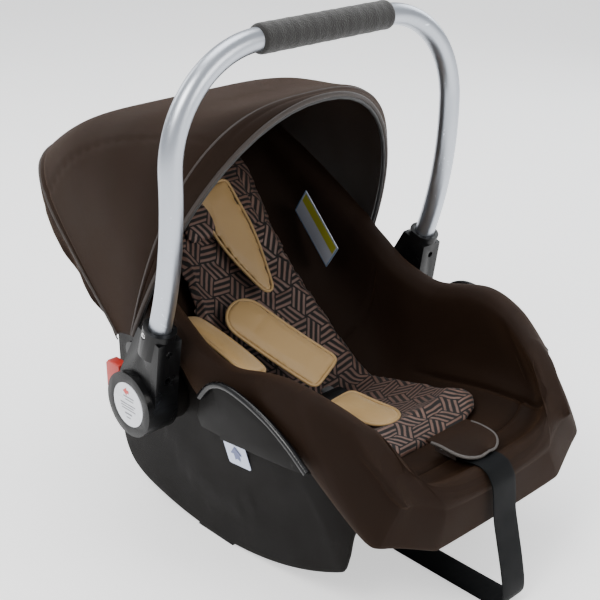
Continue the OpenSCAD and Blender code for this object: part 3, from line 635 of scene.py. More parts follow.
plush = bpy.data.materials.new("rhombus_plush")
plush.use_nodes = True
tree = plush.node_tree
skin = tree.nodes["Principled BSDF"]
place = add(tree, "ShaderNodeAttribute", attribute_name="flat_place").outputs["Vector"]
wobble = add(tree, "ShaderNodeTexNoise", {"Vector": place, "Scale": 55.0, "Detail": 2.0})
shift = add(tree, "ShaderNodeVectorMath", {0: wobble.outputs["Color"], 1: (0.0016, 0.0016, 0)},
            operation="MULTIPLY")
place = add(tree, "ShaderNodeVectorMath", {0: place, 1: shift.outputs[0]}, operation="ADD").outputs[0]
# Three sets of lines, a third of a turn apart, part the cloth into rhombuses. Each holds three stripes
# along one side.
RHOMBUS = 0.0215
axes = [(math.cos(math.radians(t)) / RHOMBUS, math.sin(math.radians(t)) / RHOMBUS, 0) for t in (90, 210, 330)]
parts = [add(tree, "ShaderNodeVectorMath", {0: place, 1: axis}, operation="DOT_PRODUCT").outputs["Value"]
         for axis in axes]
cellular = [work(tree, "FLOOR", p) for p in parts]
total = work(tree, "ADD", work(tree, "ADD", cellular[0], cellular[1]), cellular[2])
pointing_up = work(tree, "GREATER_THAN", total, -1.5)
turn = work(tree, "FLOORED_MODULO", work(tree, "SUBTRACT", cellular[1], cellular[0]), 3.0)
other = work(tree, "FLOORED_MODULO", work(tree, "SUBTRACT", 1.0, turn), 3.0)
which = work(tree, "ADD", work(tree, "MULTIPLY", pointing_up, turn),
             work(tree, "MULTIPLY", work(tree, "SUBTRACT", 1.0, pointing_up), other))
wave = None
for number in range(3):
    here = work(tree, "COMPARE", which, float(number), 0.25)
    ripple = work(tree, "PINGPONG", work(tree, "MULTIPLY", work(tree, "FRACT", parts[(number + 1) % 3]),
                                         3.0), 0.5)
    part = work(tree, "MULTIPLY", here, ripple)
    wave = part if wave is None else work(tree, "ADD", wave, part)
pile = add(tree, "ShaderNodeTexNoise", {"Vector": place, "Scale": 1400.0, "Detail": 2.0})
stripe = add(tree, "ShaderNodeMapRange", {0: work(tree, "MULTIPLY_ADD", pile.outputs[0], 0.16, wave),
                                          1: 0.3, 2: 0.42, 3: 0.0, 4: 1.0}).outputs[0]
shade = add(tree, "ShaderNodeTexNoise", {"Vector": place, "Scale": 26.0, "Detail": 3.0})
thread = mixed(tree, shade.outputs[0], (0.06, 0.03, 0.022, 1), (0.2, 0.11, 0.082, 1))
ground = mixed(tree, pile.outputs[0], (0.002, 0.0013, 0.0011, 1), (0.006, 0.0036, 0.0028, 1))
tree.links.new(mixed(tree, stripe, ground, thread), skin.inputs["Base Color"])
tree.links.new(add(tree, "ShaderNodeMapRange", {0: stripe, 1: 0.0, 2: 1.0, 3: 0.85, 4: 0.5}).outputs[0],
               skin.inputs["Roughness"])
height = work(tree, "MULTIPLY_ADD", pile.outputs[0], 0.25, stripe)
tree.links.new(add(tree, "ShaderNodeBump",
                   {"Height": height, "Distance": 0.0005, "Strength": 0.9}).outputs[0],
               skin.inputs["Normal"])
skin.inputs["Sheen Weight"].default_value = 0.1
skin.inputs["Sheen Roughness"].default_value = 0.35
insert.data.materials.append(plush)
lay_out(insert)
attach(insert, "seat")
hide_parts("newborn_insert")

a = np.linspace(34.2, 51.8, 22)
low = curve(FLOOR, a) - 48.6
swell = 5 * np.sqrt(1.02 - ((a - 43) / 9) ** 2)
s = np.sin(np.linspace(1, -1, 14) * math.pi / 2)
under = np.stack([57 * s + 0 * low[:, None], low[:, None] + 0 * s], -1)
over = np.stack([57 * s[::-1] + 0 * low[:, None],
                 low[:, None] - 1.5 - swell[:, None] * np.sqrt(1.02 - s[::-1] ** 6)], -1)
section = rounded(np.concatenate([under, over], 1), np.arange(0, 28, 0.7))
pillow = surface("head_pillow_pad", spot(section[..., 0], section[..., 1], a[:, None]), wrap=True, caps=True)
plump(pillow, 0.004, 2.0, 0.002)
smoothed(pillow)
pillow.data.materials.append(plush)
lay_out(pillow)
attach(pillow, "seat")
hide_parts("head_pillow")


# ==== Strap pads and harness ====
# Four pads of padded beige satin with corded edges wrap the harness. The webbing is woven polyester.
# It ends in steel tongues in a black buckle with a red button.
centre = np.array([0, -0.014, 0])
satin = finish("beige_satin", (0.33, 0.205, 0.08), (0.40, 0.26, 0.11), (0.3, 0.42), 24.0,
               {"Sheen Weight": 0.15, "Sheen Roughness": 0.35, "Specular IOR Level": 0.5},
               ("knit", 1500.0, 0.00012))
web = finish("black_webbing", (0.0015, 0.0019, 0.0023), (0.003, 0.0036, 0.0042), (0.45, 0.58), 30.0,
             {"Specular IOR Level": 0.08}, ("knit", 620.0, 0.0004), place="UV")


def frame_of(start, end, side):
    """Middle, length way, side way and face way of a flat piece that runs from start to end (part's
    millimetres)."""
    start, end = np.array(start) / 1000 + centre, np.array(end) / 1000 + centre
    along = (end - start) / np.linalg.norm(end - start)
    face = np.cross(along, side)
    face /= np.linalg.norm(face)
    return (start + end) / 2, np.linalg.norm(end - start), along, np.cross(face, along), face


def strap_pad(name, node, start, end, side, width, thick, round_start, round_end, creases=(), bend=0.0,
              taper=0.0):
    """A flat pad: its outline is a rectangle with its ends rounded by superellipses, its section is a
    flattened
    ellipse, and creases press it in across its length. A cord runs round its edge."""
    mid, long, along, across, face = frame_of(start, end, side)
    u = np.sin(np.linspace(-1, 1, 46) * math.pi / 2)
    end_r = np.where(u < 0, round_start, round_end)
    from_end = (1 - np.abs(u)) * long / 2 / np.maximum(end_r, 1e-4)
    fade = np.where(from_end < 1, np.sqrt(np.clip(1 - (1 - np.clip(from_end, 0, 1)) ** 2, 0, 1)), 1)
    half = (width / 2 * (1 - taper * np.clip((u + 0.2) / 1.2, 0, 1) ** 1.4)) - end_r * (1 - fade)
    half = np.maximum(half, 0.0012)
    t = np.linspace(0, 2 * math.pi, 40, endpoint=False)
    body_fade = np.sqrt(np.clip((1 - np.abs(u)) / 0.06, 0.02, 1))
    thin = thick / 2 * body_fade
    for at, deep in creases:
        thin = thin - deep * np.exp(-(((u - at) / 0.035) ** 2)) * 0.8
    cx = np.sign(np.cos(t)) * np.abs(np.cos(t)) ** 0.75
    cz = np.sign(np.sin(t)) * np.abs(np.sin(t)) ** 0.62
    sag = bend * (1 - u**2)
    line = mid + u[:, None] * (long / 2) * along + sag[:, None] * face
    grid = line[:, None] + (half[:, None] * cx)[..., None] * across + (thin[:, None] * cz)[..., None] * face
    pad = surface(name, grid, wrap=True, caps=True)
    plump(pad, 0.0035, 2.0, 0.0014, 12)
    smoothed(pad)
    pad.data.materials.append(satin)
    edge_half = half + 0.0004
    side_a = line + edge_half[:, None] * across
    side_b = line - edge_half[:, None] * across
    loop = np.concatenate([side_a, side_b[::-1]])
    cord = tube(name + "_cord", loop, 0.0019, 10, satin, closed=True)
    for piece in (pad, cord):
        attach(piece, "seat")
    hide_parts(node)
    return pad


def even(line, count, closed=False):
    """A line's points again at equal spacing."""
    if closed:
        line = np.concatenate([line, line[:1]])
    gap = np.concatenate([[0], np.cumsum(np.linalg.norm(np.diff(line, axis=0), axis=1))])
    at = np.linspace(0, gap[-1], count, endpoint=not closed)
    return np.stack([np.interp(at, gap, line[:, k]) for k in range(3)], -1)


def eased(line, times, closed=False):
    """Rounds a line's corners by moving each point halfway to the middle of its neighbours, several
    times."""
    for _ in range(times):
        before, after = np.roll(line, 1, 0), np.roll(line, -1, 0)
        soft = (before + 2 * line + after) / 4
        if not closed:
            soft[0], soft[-1] = line[0], line[-1]
        line = soft
    return line


def tube(name, line, radius, sides, stuff, closed=False, count=None):
    """A round cord: circles of the radius stood square to the line, turned as little as possible along
    it."""
    line = eased(even(line, count or max(24,
                                         int(np.linalg.norm(np.diff(line, axis=0), axis=1).sum() / 0.0035)),
                      closed), 3, closed)
    way = np.roll(line, -1, 0) - np.roll(line, 1, 0) if closed else np.gradient(line, axis=0)
    way /= np.linalg.norm(way, axis=1, keepdims=True)
    first = np.cross(way[0], (0.3, 0.5, 0.8))
    sideways = [first / np.linalg.norm(first)]
    for forward in way[1:]:
        turned = sideways[-1] - forward * (sideways[-1] @ forward)
        sideways.append(turned / np.linalg.norm(turned))
    sideways = np.array(sideways)
    rise = np.cross(way, sideways)
    turn = np.zeros(len(line))
    if closed:
        twist = math.atan2(sideways[-1] @ rise[0], sideways[-1] @ sideways[0])
        turn = -twist * np.arange(len(line)) / (len(line) - 1)
    t = np.linspace(0, 2 * math.pi, sides, endpoint=False)[None] + turn[:, None]
    circle = np.cos(t)[..., None] * sideways[:, None] + np.sin(t)[..., None] * rise[:, None]
    grid = line[:, None] + radius * circle
    if closed:
        grid = np.concatenate([grid, grid[:1]])
    return surface(name, grid, wrap=True, caps=not closed, stuff=stuff, solid=True)


strap_pad("right_shoulder_pad_body", "right_shoulder_pad", (-49, 83, 227), (3, -25, 162), (-1, -0.2, -0.3),
          0.052, 0.0085, 0.024,
          0.006, ((-0.42, 0.0016), (0.86, 0.0012)), 0.003)
strap_pad("left_shoulder_pad_body", "left_shoulder_pad", (-120, 76, 236), (-112, -36, 206), (1, 0, -0.3),
          0.036, 0.0075, 0.004,
          0.01, ((-0.84, 0.0012), (0.0, 0.0014)), 0.003)
strap_pad("upper_strap_pad_body", "upper_strap_cover", (0, 177, 340), (14, 84, 227), (-1, 0, -0.25), 0.05,
          0.005, 0.004,
          0.002, ((0.88, 0.0008),), 0.003, taper=0.8)
strap_pad("crotch_pad_body", "crotch_pad", (-16, -64, 153), (-8, -142, 152), (1, 0, 0), 0.044, 0.007, 0.006,
          0.022,
          (), -0.002)


def ribbon(name, line, side, width, thick, stuff, rows=None):
    """Flat webbing: an oval section, wider than thick, carried along a line with its width along side."""
    line = eased(even(np.array(line, float), rows or 40), 2)
    way = np.gradient(line, axis=0)
    way /= np.linalg.norm(way, axis=1, keepdims=True)
    side = np.array(side, float)
    across = side - (way @ side)[:, None] * way
    across /= np.linalg.norm(across, axis=1, keepdims=True)
    face = np.cross(across, way)
    t = np.linspace(0, 2 * math.pi, 32, endpoint=False)
    cx = np.sign(np.cos(t)) * np.abs(np.cos(t)) ** 0.5 * width / 2
    cz = np.sign(np.sin(t)) * np.abs(np.sin(t)) ** 0.4 * thick / 2
    grid = line[:, None] + cx[:, None] * across[:, None] + cz[:, None] * face[:, None]
    v = np.linalg.norm(np.diff(line, axis=0, prepend=line[:1]), axis=1).cumsum()
    u = np.append(cx, cx[0])
    uv = np.stack(np.broadcast_arrays(u[None], v[:, None]), -1)
    return surface(name, grid, wrap=True, caps=True, stuff=stuff, uv=uv), line


for name, node, start, end, side, width in [
    ("right_shoulder_web", "right_shoulder_strap", (-48, 90, 216), (0, -22, 151), (-1, -0.2, 0.1), 0.025),
    ("left_shoulder_web", "left_shoulder_strap", (-120, 84, 230), (-112, -30, 200), (1, 0, -0.3), 0.022),
    ("crotch_web", "crotch_strap", (-8, -63, 128), (-8, -74.9, 126.4), (1, 0, 0), 0.025),
]:
    ends = np.array([start, end], float) / 1000 + centre
    piece, _ = ribbon(name, ends, side, width, 0.0016, web)
    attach(piece, "seat")
    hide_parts(node)
rear_line = np.array([(0, 128, 110), (0, 142, 160), (0, 184, 235), (0, 238, 312)], float) / 1000 + centre
rear, _ = ribbon("rear_web", rear_line, (1, 0, 0), 0.025, 0.0016, web)
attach(rear, "seat")
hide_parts("rear_strap")


def softened(node, name, width, stuff, body, segments=3):
    """A moulded or pressed piece: the CAD solid's own shape, merged into flat faces, with its edges
    rounded."""
    mesh = frame["nodes"][node].data.copy()
    mesh.name = name
    work_mesh = bmesh.new()
    work_mesh.from_mesh(mesh)
    bmesh.ops.remove_doubles(work_mesh, verts=work_mesh.verts, dist=1e-6)
    bmesh.ops.dissolve_limit(work_mesh, angle_limit=math.radians(1.0), verts=work_mesh.verts,
                             edges=work_mesh.edges)
    work_mesh.to_mesh(mesh)
    work_mesh.free()
    mesh.materials.clear()
    mesh.materials.append(stuff)
    piece = bpy.data.objects.new(name, mesh)
    scene.collection.objects.link(piece)
    round_off = piece.modifiers.new("round edges", "BEVEL")
    round_off.width = width
    round_off.segments = segments
    round_off.limit_method = "ANGLE"
    round_off.angle_limit = math.radians(32)
    round_off.use_clamp_overlap = True
    round_off.harden_normals = False
    apply_all(piece)
    piece.data.shade_smooth()
    piece.data.set_sharp_from_angle(angle=math.radians(50))
    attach(piece, body)
    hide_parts(node)
    return piece


steel = finish("zinc_steel", (0.42, 0.42, 0.43), (0.55, 0.55, 0.56), (0.25, 0.4), 60.0, {"Metallic": 1.0},
               ("pebble", 1200.0, 0.00005), wear=0.05)
gloss_black = finish("gloss_black_nylon", (0.002, 0.002, 0.0022), (0.0035, 0.0035, 0.0038), (0.24, 0.34),
                     30.0,
                     {"Specular IOR Level": 0.22}, ("pebble", 900.0, 0.00008), wear=0.06)
red = finish("red_button_plastic", (0.36, 0.018, 0.012), (0.5, 0.032, 0.02), (0.3, 0.42), 40.0, None,
             ("pebble", 900.0, 0.00008), wear=0.05)
softened("buckle_body", "buckle_shell", 0.0018, gloss_black, "seat")
softened("buckle_button", "buckle_press_button", 0.001, red, "buckle_press")
dress(steel, "buckle_tongues", "splitter_plate", "strap_anchors", "adjuster_body", "adjuster_lever")


# ==== Adjuster strap and its flap ====
# The free strap leaves the adjuster over the lip, hangs in front of the seat and runs back along the floor.
# A cover-coloured flap edged in grey tape hides the adjuster.
ROUTE = [(-240.6, 154), (-252, 156.3), (-263, 158.2), (-272, 158.6), (-281, 155), (-289, 143), (-291, 127),
         (-293, 104),
         (-299, 80), (-306, 52), (-311, 28), (-312, 14), (-307, 5), (-297, 2.2), (-280, 1.8), (-240, 1.6),
         (-190, 1.6),
         (-160, 1.6)]
STRAP_X = -6
strap_line = np.array([(STRAP_X, y, z) for y, z in ROUTE]) / 1000 + centre
STRAP_W, STRAP_THICK = 0.036, 0.0017
strap, strap_path = ribbon("adjuster_web", strap_line, (1, 0, 0), STRAP_W, STRAP_THICK, web, 110)
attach(strap, "seat")
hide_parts("adjuster_strap")

flap_line = eased(even(np.array([(0, -206, 164), (0, -226, 166.5), (0, -246, 165.5), (0, -262, 162)]) / 1000
                       + centre, 30), 3)
u = np.linspace(-1, 1, 40)
v = np.linspace(0, 1, 30)
flap_half = 0.032 * np.sqrt(np.clip(1 - np.clip((v - 0.55) / 0.46, 0, 1) ** 2.4, 0.02, 1))
flap_grid = flap_line[:, None] + (flap_half[:, None] * u)[..., None] * np.array([1.0, 0, 0])
bulge = 0.0016 * np.cos(u * 2.2)[None] * v[:, None]
curl = 0.0012 * np.sin(3 * u + 1)[None] * v[:, None] ** 2
flap_grid[..., 2] += bulge + curl
flap = surface("adjuster_flap_cloth", flap_grid, stuff=cover_stuff)
wall = flap.modifiers.new("thickness", "SOLIDIFY")
wall.thickness = 0.0022
wall.offset = 0
apply_all(flap)
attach(flap, "seat")
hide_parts("adjuster_flap")
tape = finish("grey_edge_tape", (0.05, 0.044, 0.04), (0.09, 0.08, 0.073), (0.4, 0.5), 60.0, None,
              ("knit", 1100.0, 0.0002))
rim_line = np.concatenate([flap_grid[4:, 0], flap_grid[-1, 1:], flap_grid[-2:3:-1, -1]])
flap_edge = tube("adjuster_flap_edging", rim_line, 0.0019, 10, tape)
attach(flap_edge, "seat")


# ==== Belt guides ====
# Half-moon arms of dark nylon with a glossy lip along the top edge. They are screwed to the shell
# over the lap belt's path on each side.
guide_stuff = finish("belt_guide_nylon", (0.0035, 0.003, 0.0027), (0.0052, 0.0046, 0.0042), (0.42, 0.52),
                     30.0,
                     {"Specular IOR Level": 0.08}, ("pebble", 1100.0, 0.00012), wear=0.06)
lip_stuff = finish("belt_guide_lip_gloss", (0.002, 0.002, 0.0024), (0.0035, 0.0035, 0.004), (0.2, 0.3), 30.0,
                   {"Specular IOR Level": 0.4}, ("pebble", 1100.0, 0.00005), wear=0.06)
GUIDE_X = 190.0
GUIDE_TOP = [(-24, 180), (-31, 207), (-47, 227), (-66, 235), (-84, 235), (-113, 229), (-143, 219),
             (-171, 204), (-196, 186)]
for way, side in ((-1, "left"), (1, "right")):
    softened(f"{side}_belt_guide", f"{side}_belt_guide_plate", 0.0022, guide_stuff, "seat")
    ridge = np.array([(way * GUIDE_X, y, z) for y, z in GUIDE_TOP[1:]]) / 1000 + centre
    middle_of = np.array([way * GUIDE_X / 1000, -0.110, 0.190])
    ridge = eased(even(ridge, 70), 12)
    ridge += (middle_of - ridge) * (1, 0.03, 0.03)
    lip = tube(f"{side}_belt_guide_lip", ridge, 0.0036, 16, lip_stuff)
    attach(lip, "seat")


# ==== Carrying handle ====
# A bent satin aluminium tube with a foam grip, held by rivets in the sockets of two nylon arms.
# The arms turn on pins in the fixed hub bases; a sprung red button in each frees them.
TUBE_X, TUBE_R, LEAN, LEAN_R, BEND_R = 204.5, 12, 20, 480, 115
LEAN_Z, BEND_Z, TOP_Y, SOCKET = 439.0, 443.85, -18.84, (10.1, 274.85)
b = np.radians(LEAN)
down = np.linspace(28, 0, 6)[:, None]
socket = np.array([TUBE_X, *SOCKET]) + down * (0, math.sin(b), -math.cos(b))
t = np.radians(np.linspace(LEAN, 0, 26))
leaning = np.stack([TUBE_X + 0 * t, SOCKET[0] + LEAN_R * (math.cos(b) - np.cos(t)),
                    LEAN_Z - LEAN_R * np.sin(t)], -1)
t = np.radians(np.linspace(0, 90, 40))
bend = np.stack([TUBE_X - BEND_R * (1 - np.cos(t)), TOP_Y + 0 * t, BEND_Z + BEND_R * np.sin(t)], -1)
one_side = np.concatenate([socket[:-1], leaning, bend[1:]])
path = np.concatenate([one_side, one_side[::-1] * (-1, 1, 1)]) / 1000 + centre
aluminium = finish("satin_aluminium", (0.4, 0.43, 0.48), (0.5, 0.53, 0.58), (0.3, 0.38), 14.0,
                   {"Metallic": 1.0, "Coat Weight": 0.15, "Coat Roughness": 0.25},
                   ("pebble", 2400.0, 0.00002), wear=0.04)
handle = tube("handle_tube_bent", path, TUBE_R / 1000, 48, aluminium, count=360)
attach(handle, "handle")
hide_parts("handle_tube")

grip_foam = finish("grip_foam_rubber", (0.003, 0.0025, 0.002), (0.007, 0.006, 0.0046), (0.8, 0.92), 45.0,
                   {"Sheen Weight": 0.25, "Sheen Roughness": 0.5}, ("pebble", 700.0, 0.0006))
u = np.linspace(-1, 1, 120)
end_round = np.sqrt(np.clip(1 - np.clip((np.abs(u) - 0.965) / 0.035, 0, 1) ** 2, 0, 1))
GRIP_HALF, GRIP_BORE, GRIP_WALL = 92, 12.2, 3.3
grip_r = GRIP_BORE + GRIP_WALL * end_round + 0.12 * np.sin(u * 21) + 0.1 * np.sin(u * 47 + 1)
t = np.linspace(0, 2 * math.pi, 48, endpoint=False)
grip_at = np.array([0, TOP_Y, BEND_Z + BEND_R]) / 1000 + centre
ring = np.stack([0 * t, np.cos(t), np.sin(t)], -1)
grip_line = grip_at + np.stack([u * GRIP_HALF, 0 * u, 0 * u], -1)[:, None] / 1000
outer = grip_line + ring * (grip_r / 1000)[:, None, None]
grip = surface("foam_grip_sleeve", outer, wrap=True, caps=True, stuff=grip_foam)
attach(grip, "handle")
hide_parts("foam_grip")

for side in ("left", "right"):
    softened(f"{side}_handle_arm", f"{side}_handle_arm_moulding", 0.0026, gloss_black, "handle",
             4)
    softened(f"{side}_release_button", f"{side}_release_button_cap", 0.0022, red, f"{side}_button",
             4)
    softened(f"{side}_hub_base", f"{side}_hub_base_moulding", 0.0015, shell_stuff, "seat")
rivet_steel = finish("bright_rivets", (0.55, 0.55, 0.55), (0.7, 0.7, 0.7), (0.2, 0.32), 90.0,
                     {"Metallic": 1.0}, ("pebble", 2000.0, 0.00005))
dress(rivet_steel, "handle_screws", "tube_rivets")
spring_wire = finish("spring_wire", (0.35, 0.35, 0.36), (0.5, 0.5, 0.52), (0.25, 0.35), 200.0,
                     {"Metallic": 1.0}, ("pebble", 3000.0, 0.00003))
dress(spring_wire, "left_button_spring", "right_button_spring")


# ==== Hub labels ====
# Round white paper labels under clear film, stuck in the recess of each hub.
# They carry plain generic bars and an arrow.
paper = finish("label_paper", (0.66, 0.68, 0.72), (0.74, 0.76, 0.8), (0.25, 0.35), 50.0,
               {"Coat Weight": 0.3, "Coat Roughness": 0.15}, ("pebble", 800.0, 0.00002))
ink = finish("grey_print", (0.12, 0.12, 0.14), (0.22, 0.22, 0.25), (0.4, 0.5), 300.0, None,
             ("pebble", 900.0, 0.00002))
red_ink = finish("red_print", (0.5, 0.03, 0.03), (0.6, 0.05, 0.045), (0.4, 0.5), 200.0, None,
                 ("pebble", 900.0, 0.00002))
blue_ink = finish("blue_print", (0.08, 0.1, 0.22), (0.12, 0.14, 0.28), (0.35, 0.45), 200.0, None,
                  ("pebble", 900.0, 0.00002))


PRINT_THICK = 0.0002


def printed(name, outlines, origin, right, up, stuff):
    """Flat marks: closed outlines in millimetres on a plane, given the thickness of the print."""
    right, up = (np.array(k, float) / np.linalg.norm(k) for k in (right, up))
    out = np.cross(right, up)
    verts, faces = [], []
    for outline in outlines:
        flat = np.array(outline, float) / 1000
        low = np.array(origin) + flat[:, :1] * right + flat[:, 1:] * up
        n, at = len(flat), len(verts)
        verts += low.tolist() + (low + out * PRINT_THICK).tolist()
        faces += [[at + n - 1 - k for k in range(n)], [at + n + k for k in range(n)]]
        faces += [[at + k, at + (k + 1) % n, at + n + (k + 1) % n, at + n + k] for k in range(n)]
    mesh = bpy.data.meshes.new(name)
    mesh.from_pydata(verts, [], faces)
    return placed(name, mesh, stuff, 30)


def oblong(x, y, w, h):
    """Outline of a rectangle about its middle."""
    return [(x - w / 2, y - h / 2), (x + w / 2, y - h / 2), (x + w / 2, y + h / 2), (x - w / 2, y + h / 2)]


LABEL_R = 25.4
ARROW = [(-3, -1.6), (0, -1.6), (0, -4), (5, 0), (0, 4), (0, 1.6), (-3, 1.6)]
t = np.radians(np.arange(0, 360, 6))
for way, side in ((-1, "left"), (1, "right")):
    box_low, box_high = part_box(f"{side}_hub_label")
    face_x = box_low[0] if way < 0 else box_high[0]
    disc_r = np.array([0.2, 0.7, 0.95, 1.0, 1.0]) * LABEL_R / 1000
    depth = np.array([0, 0, 0, 0.00015, 0.0009])
    at = np.array([face_x, hub_at[1], hub_at[2]])
    circle = np.stack([0 * t, np.cos(t), np.sin(t)], -1)
    rows = at + disc_r[:, None, None] * circle - (depth[:, None, None] * (way, 0, 0))
    disc = surface(f"{side}_hub_label_disc", rows, wrap=True, caps=True, stuff=paper)
    right_way, rise = (0, way, 0), (0, 0.0, 1)
    bars = [oblong(2, 9.5, 18, 1.1), oblong(3, 6, 14, 0.9), oblong(0, 0.5, 26, 1.0),
            oblong(-1, -2.6, 22, 0.9),
            oblong(1, -5.7, 24, 0.9), oblong(0, -11, 12, 1.6), oblong(0, -15.5, 7, 1.0)]
    print_at = at + (way * 0.00005, 0, 0)
    marks = printed(f"{side}_hub_label_bars", bars, print_at, right_way, rise, ink)
    arrow = printed(f"{side}_hub_label_arrow", [[(-x * 1.3 - 1, y * 1.2 + 15.5) for x, y in ARROW][::-1]],
                    print_at, right_way, rise, red_ink)
    for piece in (disc, marks, arrow):
        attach(piece, "handle")
    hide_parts(f"{side}_hub_label")


# ==== Canopy ====
# One sheet of the cover's knit over a bow: a top panel and two side panels, bound along the front edge.
# The bow's clips turn on snaps in the shell; the rear hem is elasticated round the head of the seat.
fold_at = joints["canopy_fold"]
BACK, FRONT, HALF_W, RISE = 42, 113.4, 184.5, 307.5
CANOPY_RISE = [(42, 0.905), (58, 0.875), (75, 0.845), (90, 0.847), (99, 0.88), (107, 0.944), (113.4, 1)]
CANOPY_POWER = [(42, 6.5), (60, 6.5), (75, 6), (98, 4.4), (108, 3), (113.4, 2.13)]


def arch(th, t, w, h, p):
    """An arch at angle th about the hinge: a superellipse of power p, w wide and h high, t from side to
    side."""
    c, s = np.cos(np.radians(t)), np.sin(np.radians(t))
    m = (np.abs(c) ** p + s**p) ** (1 / p)
    q = h * s / m / 1000
    return np.stack(np.broadcast_arrays(w * c / m / 1000, fold_at[1] + q * np.cos(np.radians(th)),
                                        fold_at[2] + q * np.sin(np.radians(th))), -1)


t = np.linspace(5, 175, 180)[None]
th = np.concatenate([[37.2, 38.2, 40, 41.2], np.linspace(BACK, FRONT, 130)])[:, None]
size = np.concatenate([[0.79, 0.89, 0.965, 0.99], np.ones(130)])[:, None]
clamped = np.maximum(th, BACK)
height = (RISE * curve(CANOPY_RISE, clamped) - 1.2) * size
sheet_grid = arch(th, t, HALF_W - 1.2, height, curve(CANOPY_POWER, clamped))
panel_seam = 38 + 15 * np.clip((clamped - 48) / 60, 0, 1)
seam_gap = (t - panel_seam) * 4.2
seam_gap_other = (t - (180 - panel_seam)) * 4.2
dip = groove(seam_gap, 2.0, 1.5) + groove(seam_gap_other, 2.0, 1.5)
dip = dip + groove((clamped - 110.6) * 5.2, 1.9, 1.3) + groove((clamped - 46.0) * 5, 2.2, 1.2)
slack = np.clip(np.sin(np.radians(t)) ** 2, 0,
                1) * np.sin(np.radians((clamped - BACK) / (FRONT - BACK) * 180))
wrinkle = 0.9 * np.sin(clamped * 0.35 + t
                       * 0.06) * slack * np.exp(-((np.sin(np.radians(t)) - 0.6) / 0.3) ** 2)
inward = (0, fold_at[1] + 0.02, fold_at[2] + 0.05) - sheet_grid
inward /= np.linalg.norm(inward, axis=2, keepdims=True)
sheet_grid = sheet_grid + inward * ((np.clip(dip, -0.3, 3) + wrinkle * 0.6 + 0.4) / 1000)[..., None]
hem_ripple = 0.0022 * np.sin(t * 0.42) * np.clip((44 - th) / 4, 0, 1)
sheet_grid = sheet_grid + inward * hem_ripple[..., None]
canopy_stuff = finish("canopy_knit", (0.0105, 0.0052, 0.0028), (0.0155, 0.0078, 0.0044), (0.58, 0.7), 14.0,
                      {"Sheen Weight": 0.12, "Sheen Roughness": 0.4, "Sheen Tint": (0.5, 0.26, 0.13, 1),
                       "Specular IOR Level": 0.1},
                      ("knit", 900.0, 0.0002), place="UV")
canopy = surface("canopy_cloth", sheet_grid, stuff=canopy_stuff)
wall = canopy.modifiers.new("thickness", "SOLIDIFY")
wall.thickness = 0.0016
wall.offset = 0
apply_all(canopy)
canopy.data.shade_smooth()
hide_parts("canopy_fabric")
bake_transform(canopy)
binding = finish("canopy_binding", (0.02, 0.0125, 0.009), (0.028, 0.018, 0.0135), (0.5, 0.6), 40.0,
                 {"Sheen Weight": 0.15, "Sheen Roughness": 0.4}, ("knit", 1100.0, 0.0002))
front_line = sheet_grid[-1] + inward[-1] * 0.0006
edge = tube("canopy_front_binding", front_line, 0.0028, 12, binding)
piping_row = int(np.argmin(np.abs(th[:, 0] - 108.8)))
piping = tube("canopy_front_piping", sheet_grid[piping_row] - inward[piping_row] * 0.0004, 0.0013, 8, binding)
rear_row = int(np.argmin(np.abs(th[:, 0] - 43.6)))
rear_piping = tube("canopy_rear_piping", sheet_grid[rear_row] - inward[rear_row] * 0.0006, 0.002, 8, binding)
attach(edge, "canopy_frame")
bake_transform(piping)
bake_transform(rear_piping)
bow_wire = finish("bow_plastic_rod", (0.01, 0.01, 0.01), (0.018, 0.018, 0.018), (0.35, 0.5), 50.0, None,
                  ("pebble", 900.0, 0.00008))
dress(bow_wire, "canopy_bow", "canopy_clips", "canopy_snaps")


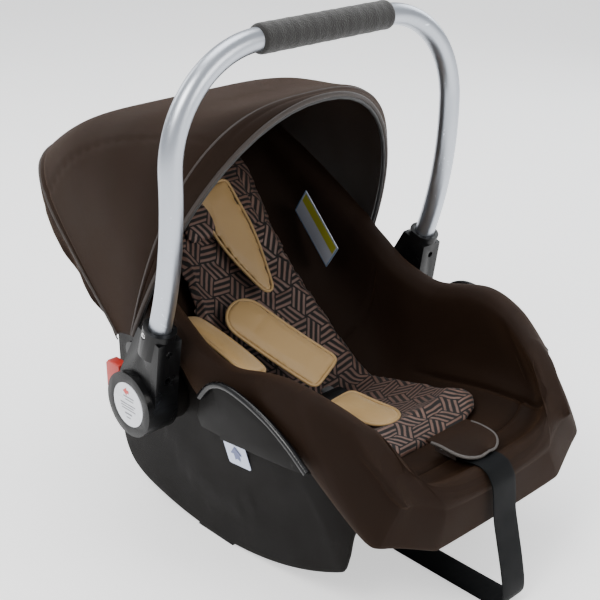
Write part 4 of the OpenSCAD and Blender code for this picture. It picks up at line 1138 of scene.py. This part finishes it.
# ==== Sticker and care tag ====
# A square paper sticker with a plain blue arrow, glued to one side of the shell, and a pale tag with a
# yellow band, sewn to the inside of the other wing.
sticker_paper = finish("pale_blue_sticker", (0.5, 0.56, 0.72), (0.58, 0.64, 0.8), (0.3, 0.4), 60.0,
                       {"Coat Weight": 0.2}, ("pebble", 900.0, 0.00002))
dress(sticker_paper, "arrow_sticker")
sticker_at = np.array([-(167.6 + 0.62), -63, 142.0]) / 1000 + centre
side_way = np.array([0, -1, 0.1])
up_way = np.cross(np.cross(side_way, (0.22, 0.1, 1)), side_way)
up_way = up_way / np.linalg.norm(up_way) * (1 if up_way[2] > 0 else -1)
up_way = up_way * (-1, 1, 1)
BLOCK_ARROW = [(-4, -9), (0, -6.5), (4, -9), (4, -1), (9, -1), (0, 9), (-9, -1), (-4, -1)]
sticker_mark = printed("arrow_sticker_print", [BLOCK_ARROW], sticker_at, side_way, up_way, blue_ink)
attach(sticker_mark, "seat")

tag_paper = finish("tag_paper", (0.62, 0.68, 0.8), (0.72, 0.77, 0.88), (0.4, 0.5), 50.0, None,
                   ("pebble", 900.0, 0.00002))
tag_yellow = finish("tag_yellow_band", (0.5, 0.5, 0.03), (0.6, 0.6, 0.06), (0.4, 0.5), 50.0, None,
                    ("pebble", 900.0, 0.00002))
tag_blue = finish("tag_blue_edge", (0.12, 0.26, 0.5), (0.18, 0.34, 0.6), (0.4, 0.5), 50.0, None,
                  ("pebble", 900.0, 0.00002))
dress(tag_paper, "care_tag")
tag_at = np.array([110.8, 106.3, 275.1]) / 1000 + centre
tag_x = np.array([0.1, 1, 0.9])
tag_z = np.cross(tag_x, (-0.3, -0.8, 1))
tag_z /= np.linalg.norm(tag_z)
tag_y = np.cross(tag_z, tag_x)
tag_face = tag_at + tag_z * (0.00085 if tag_z[0] < 0 else -0.00005)
flip_y = 1 if tag_z[0] < 0 else -1
band = printed("care_tag_band", [oblong(0, -13.5 * flip_y, 80, 17)], tag_face, tag_x, tag_y, tag_yellow)
rules = printed("care_tag_rules", [oblong(0, 24 * flip_y, 86, 1.6), oblong(0, -24 * flip_y, 86, 1.6),
                                   oblong(-42.4, 0, 1.4, 50),
                                   oblong(42.4, 0, 1.4, 50)], tag_face, tag_x, tag_y, tag_blue)
for piece in (band, rules):
    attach(piece, "seat")
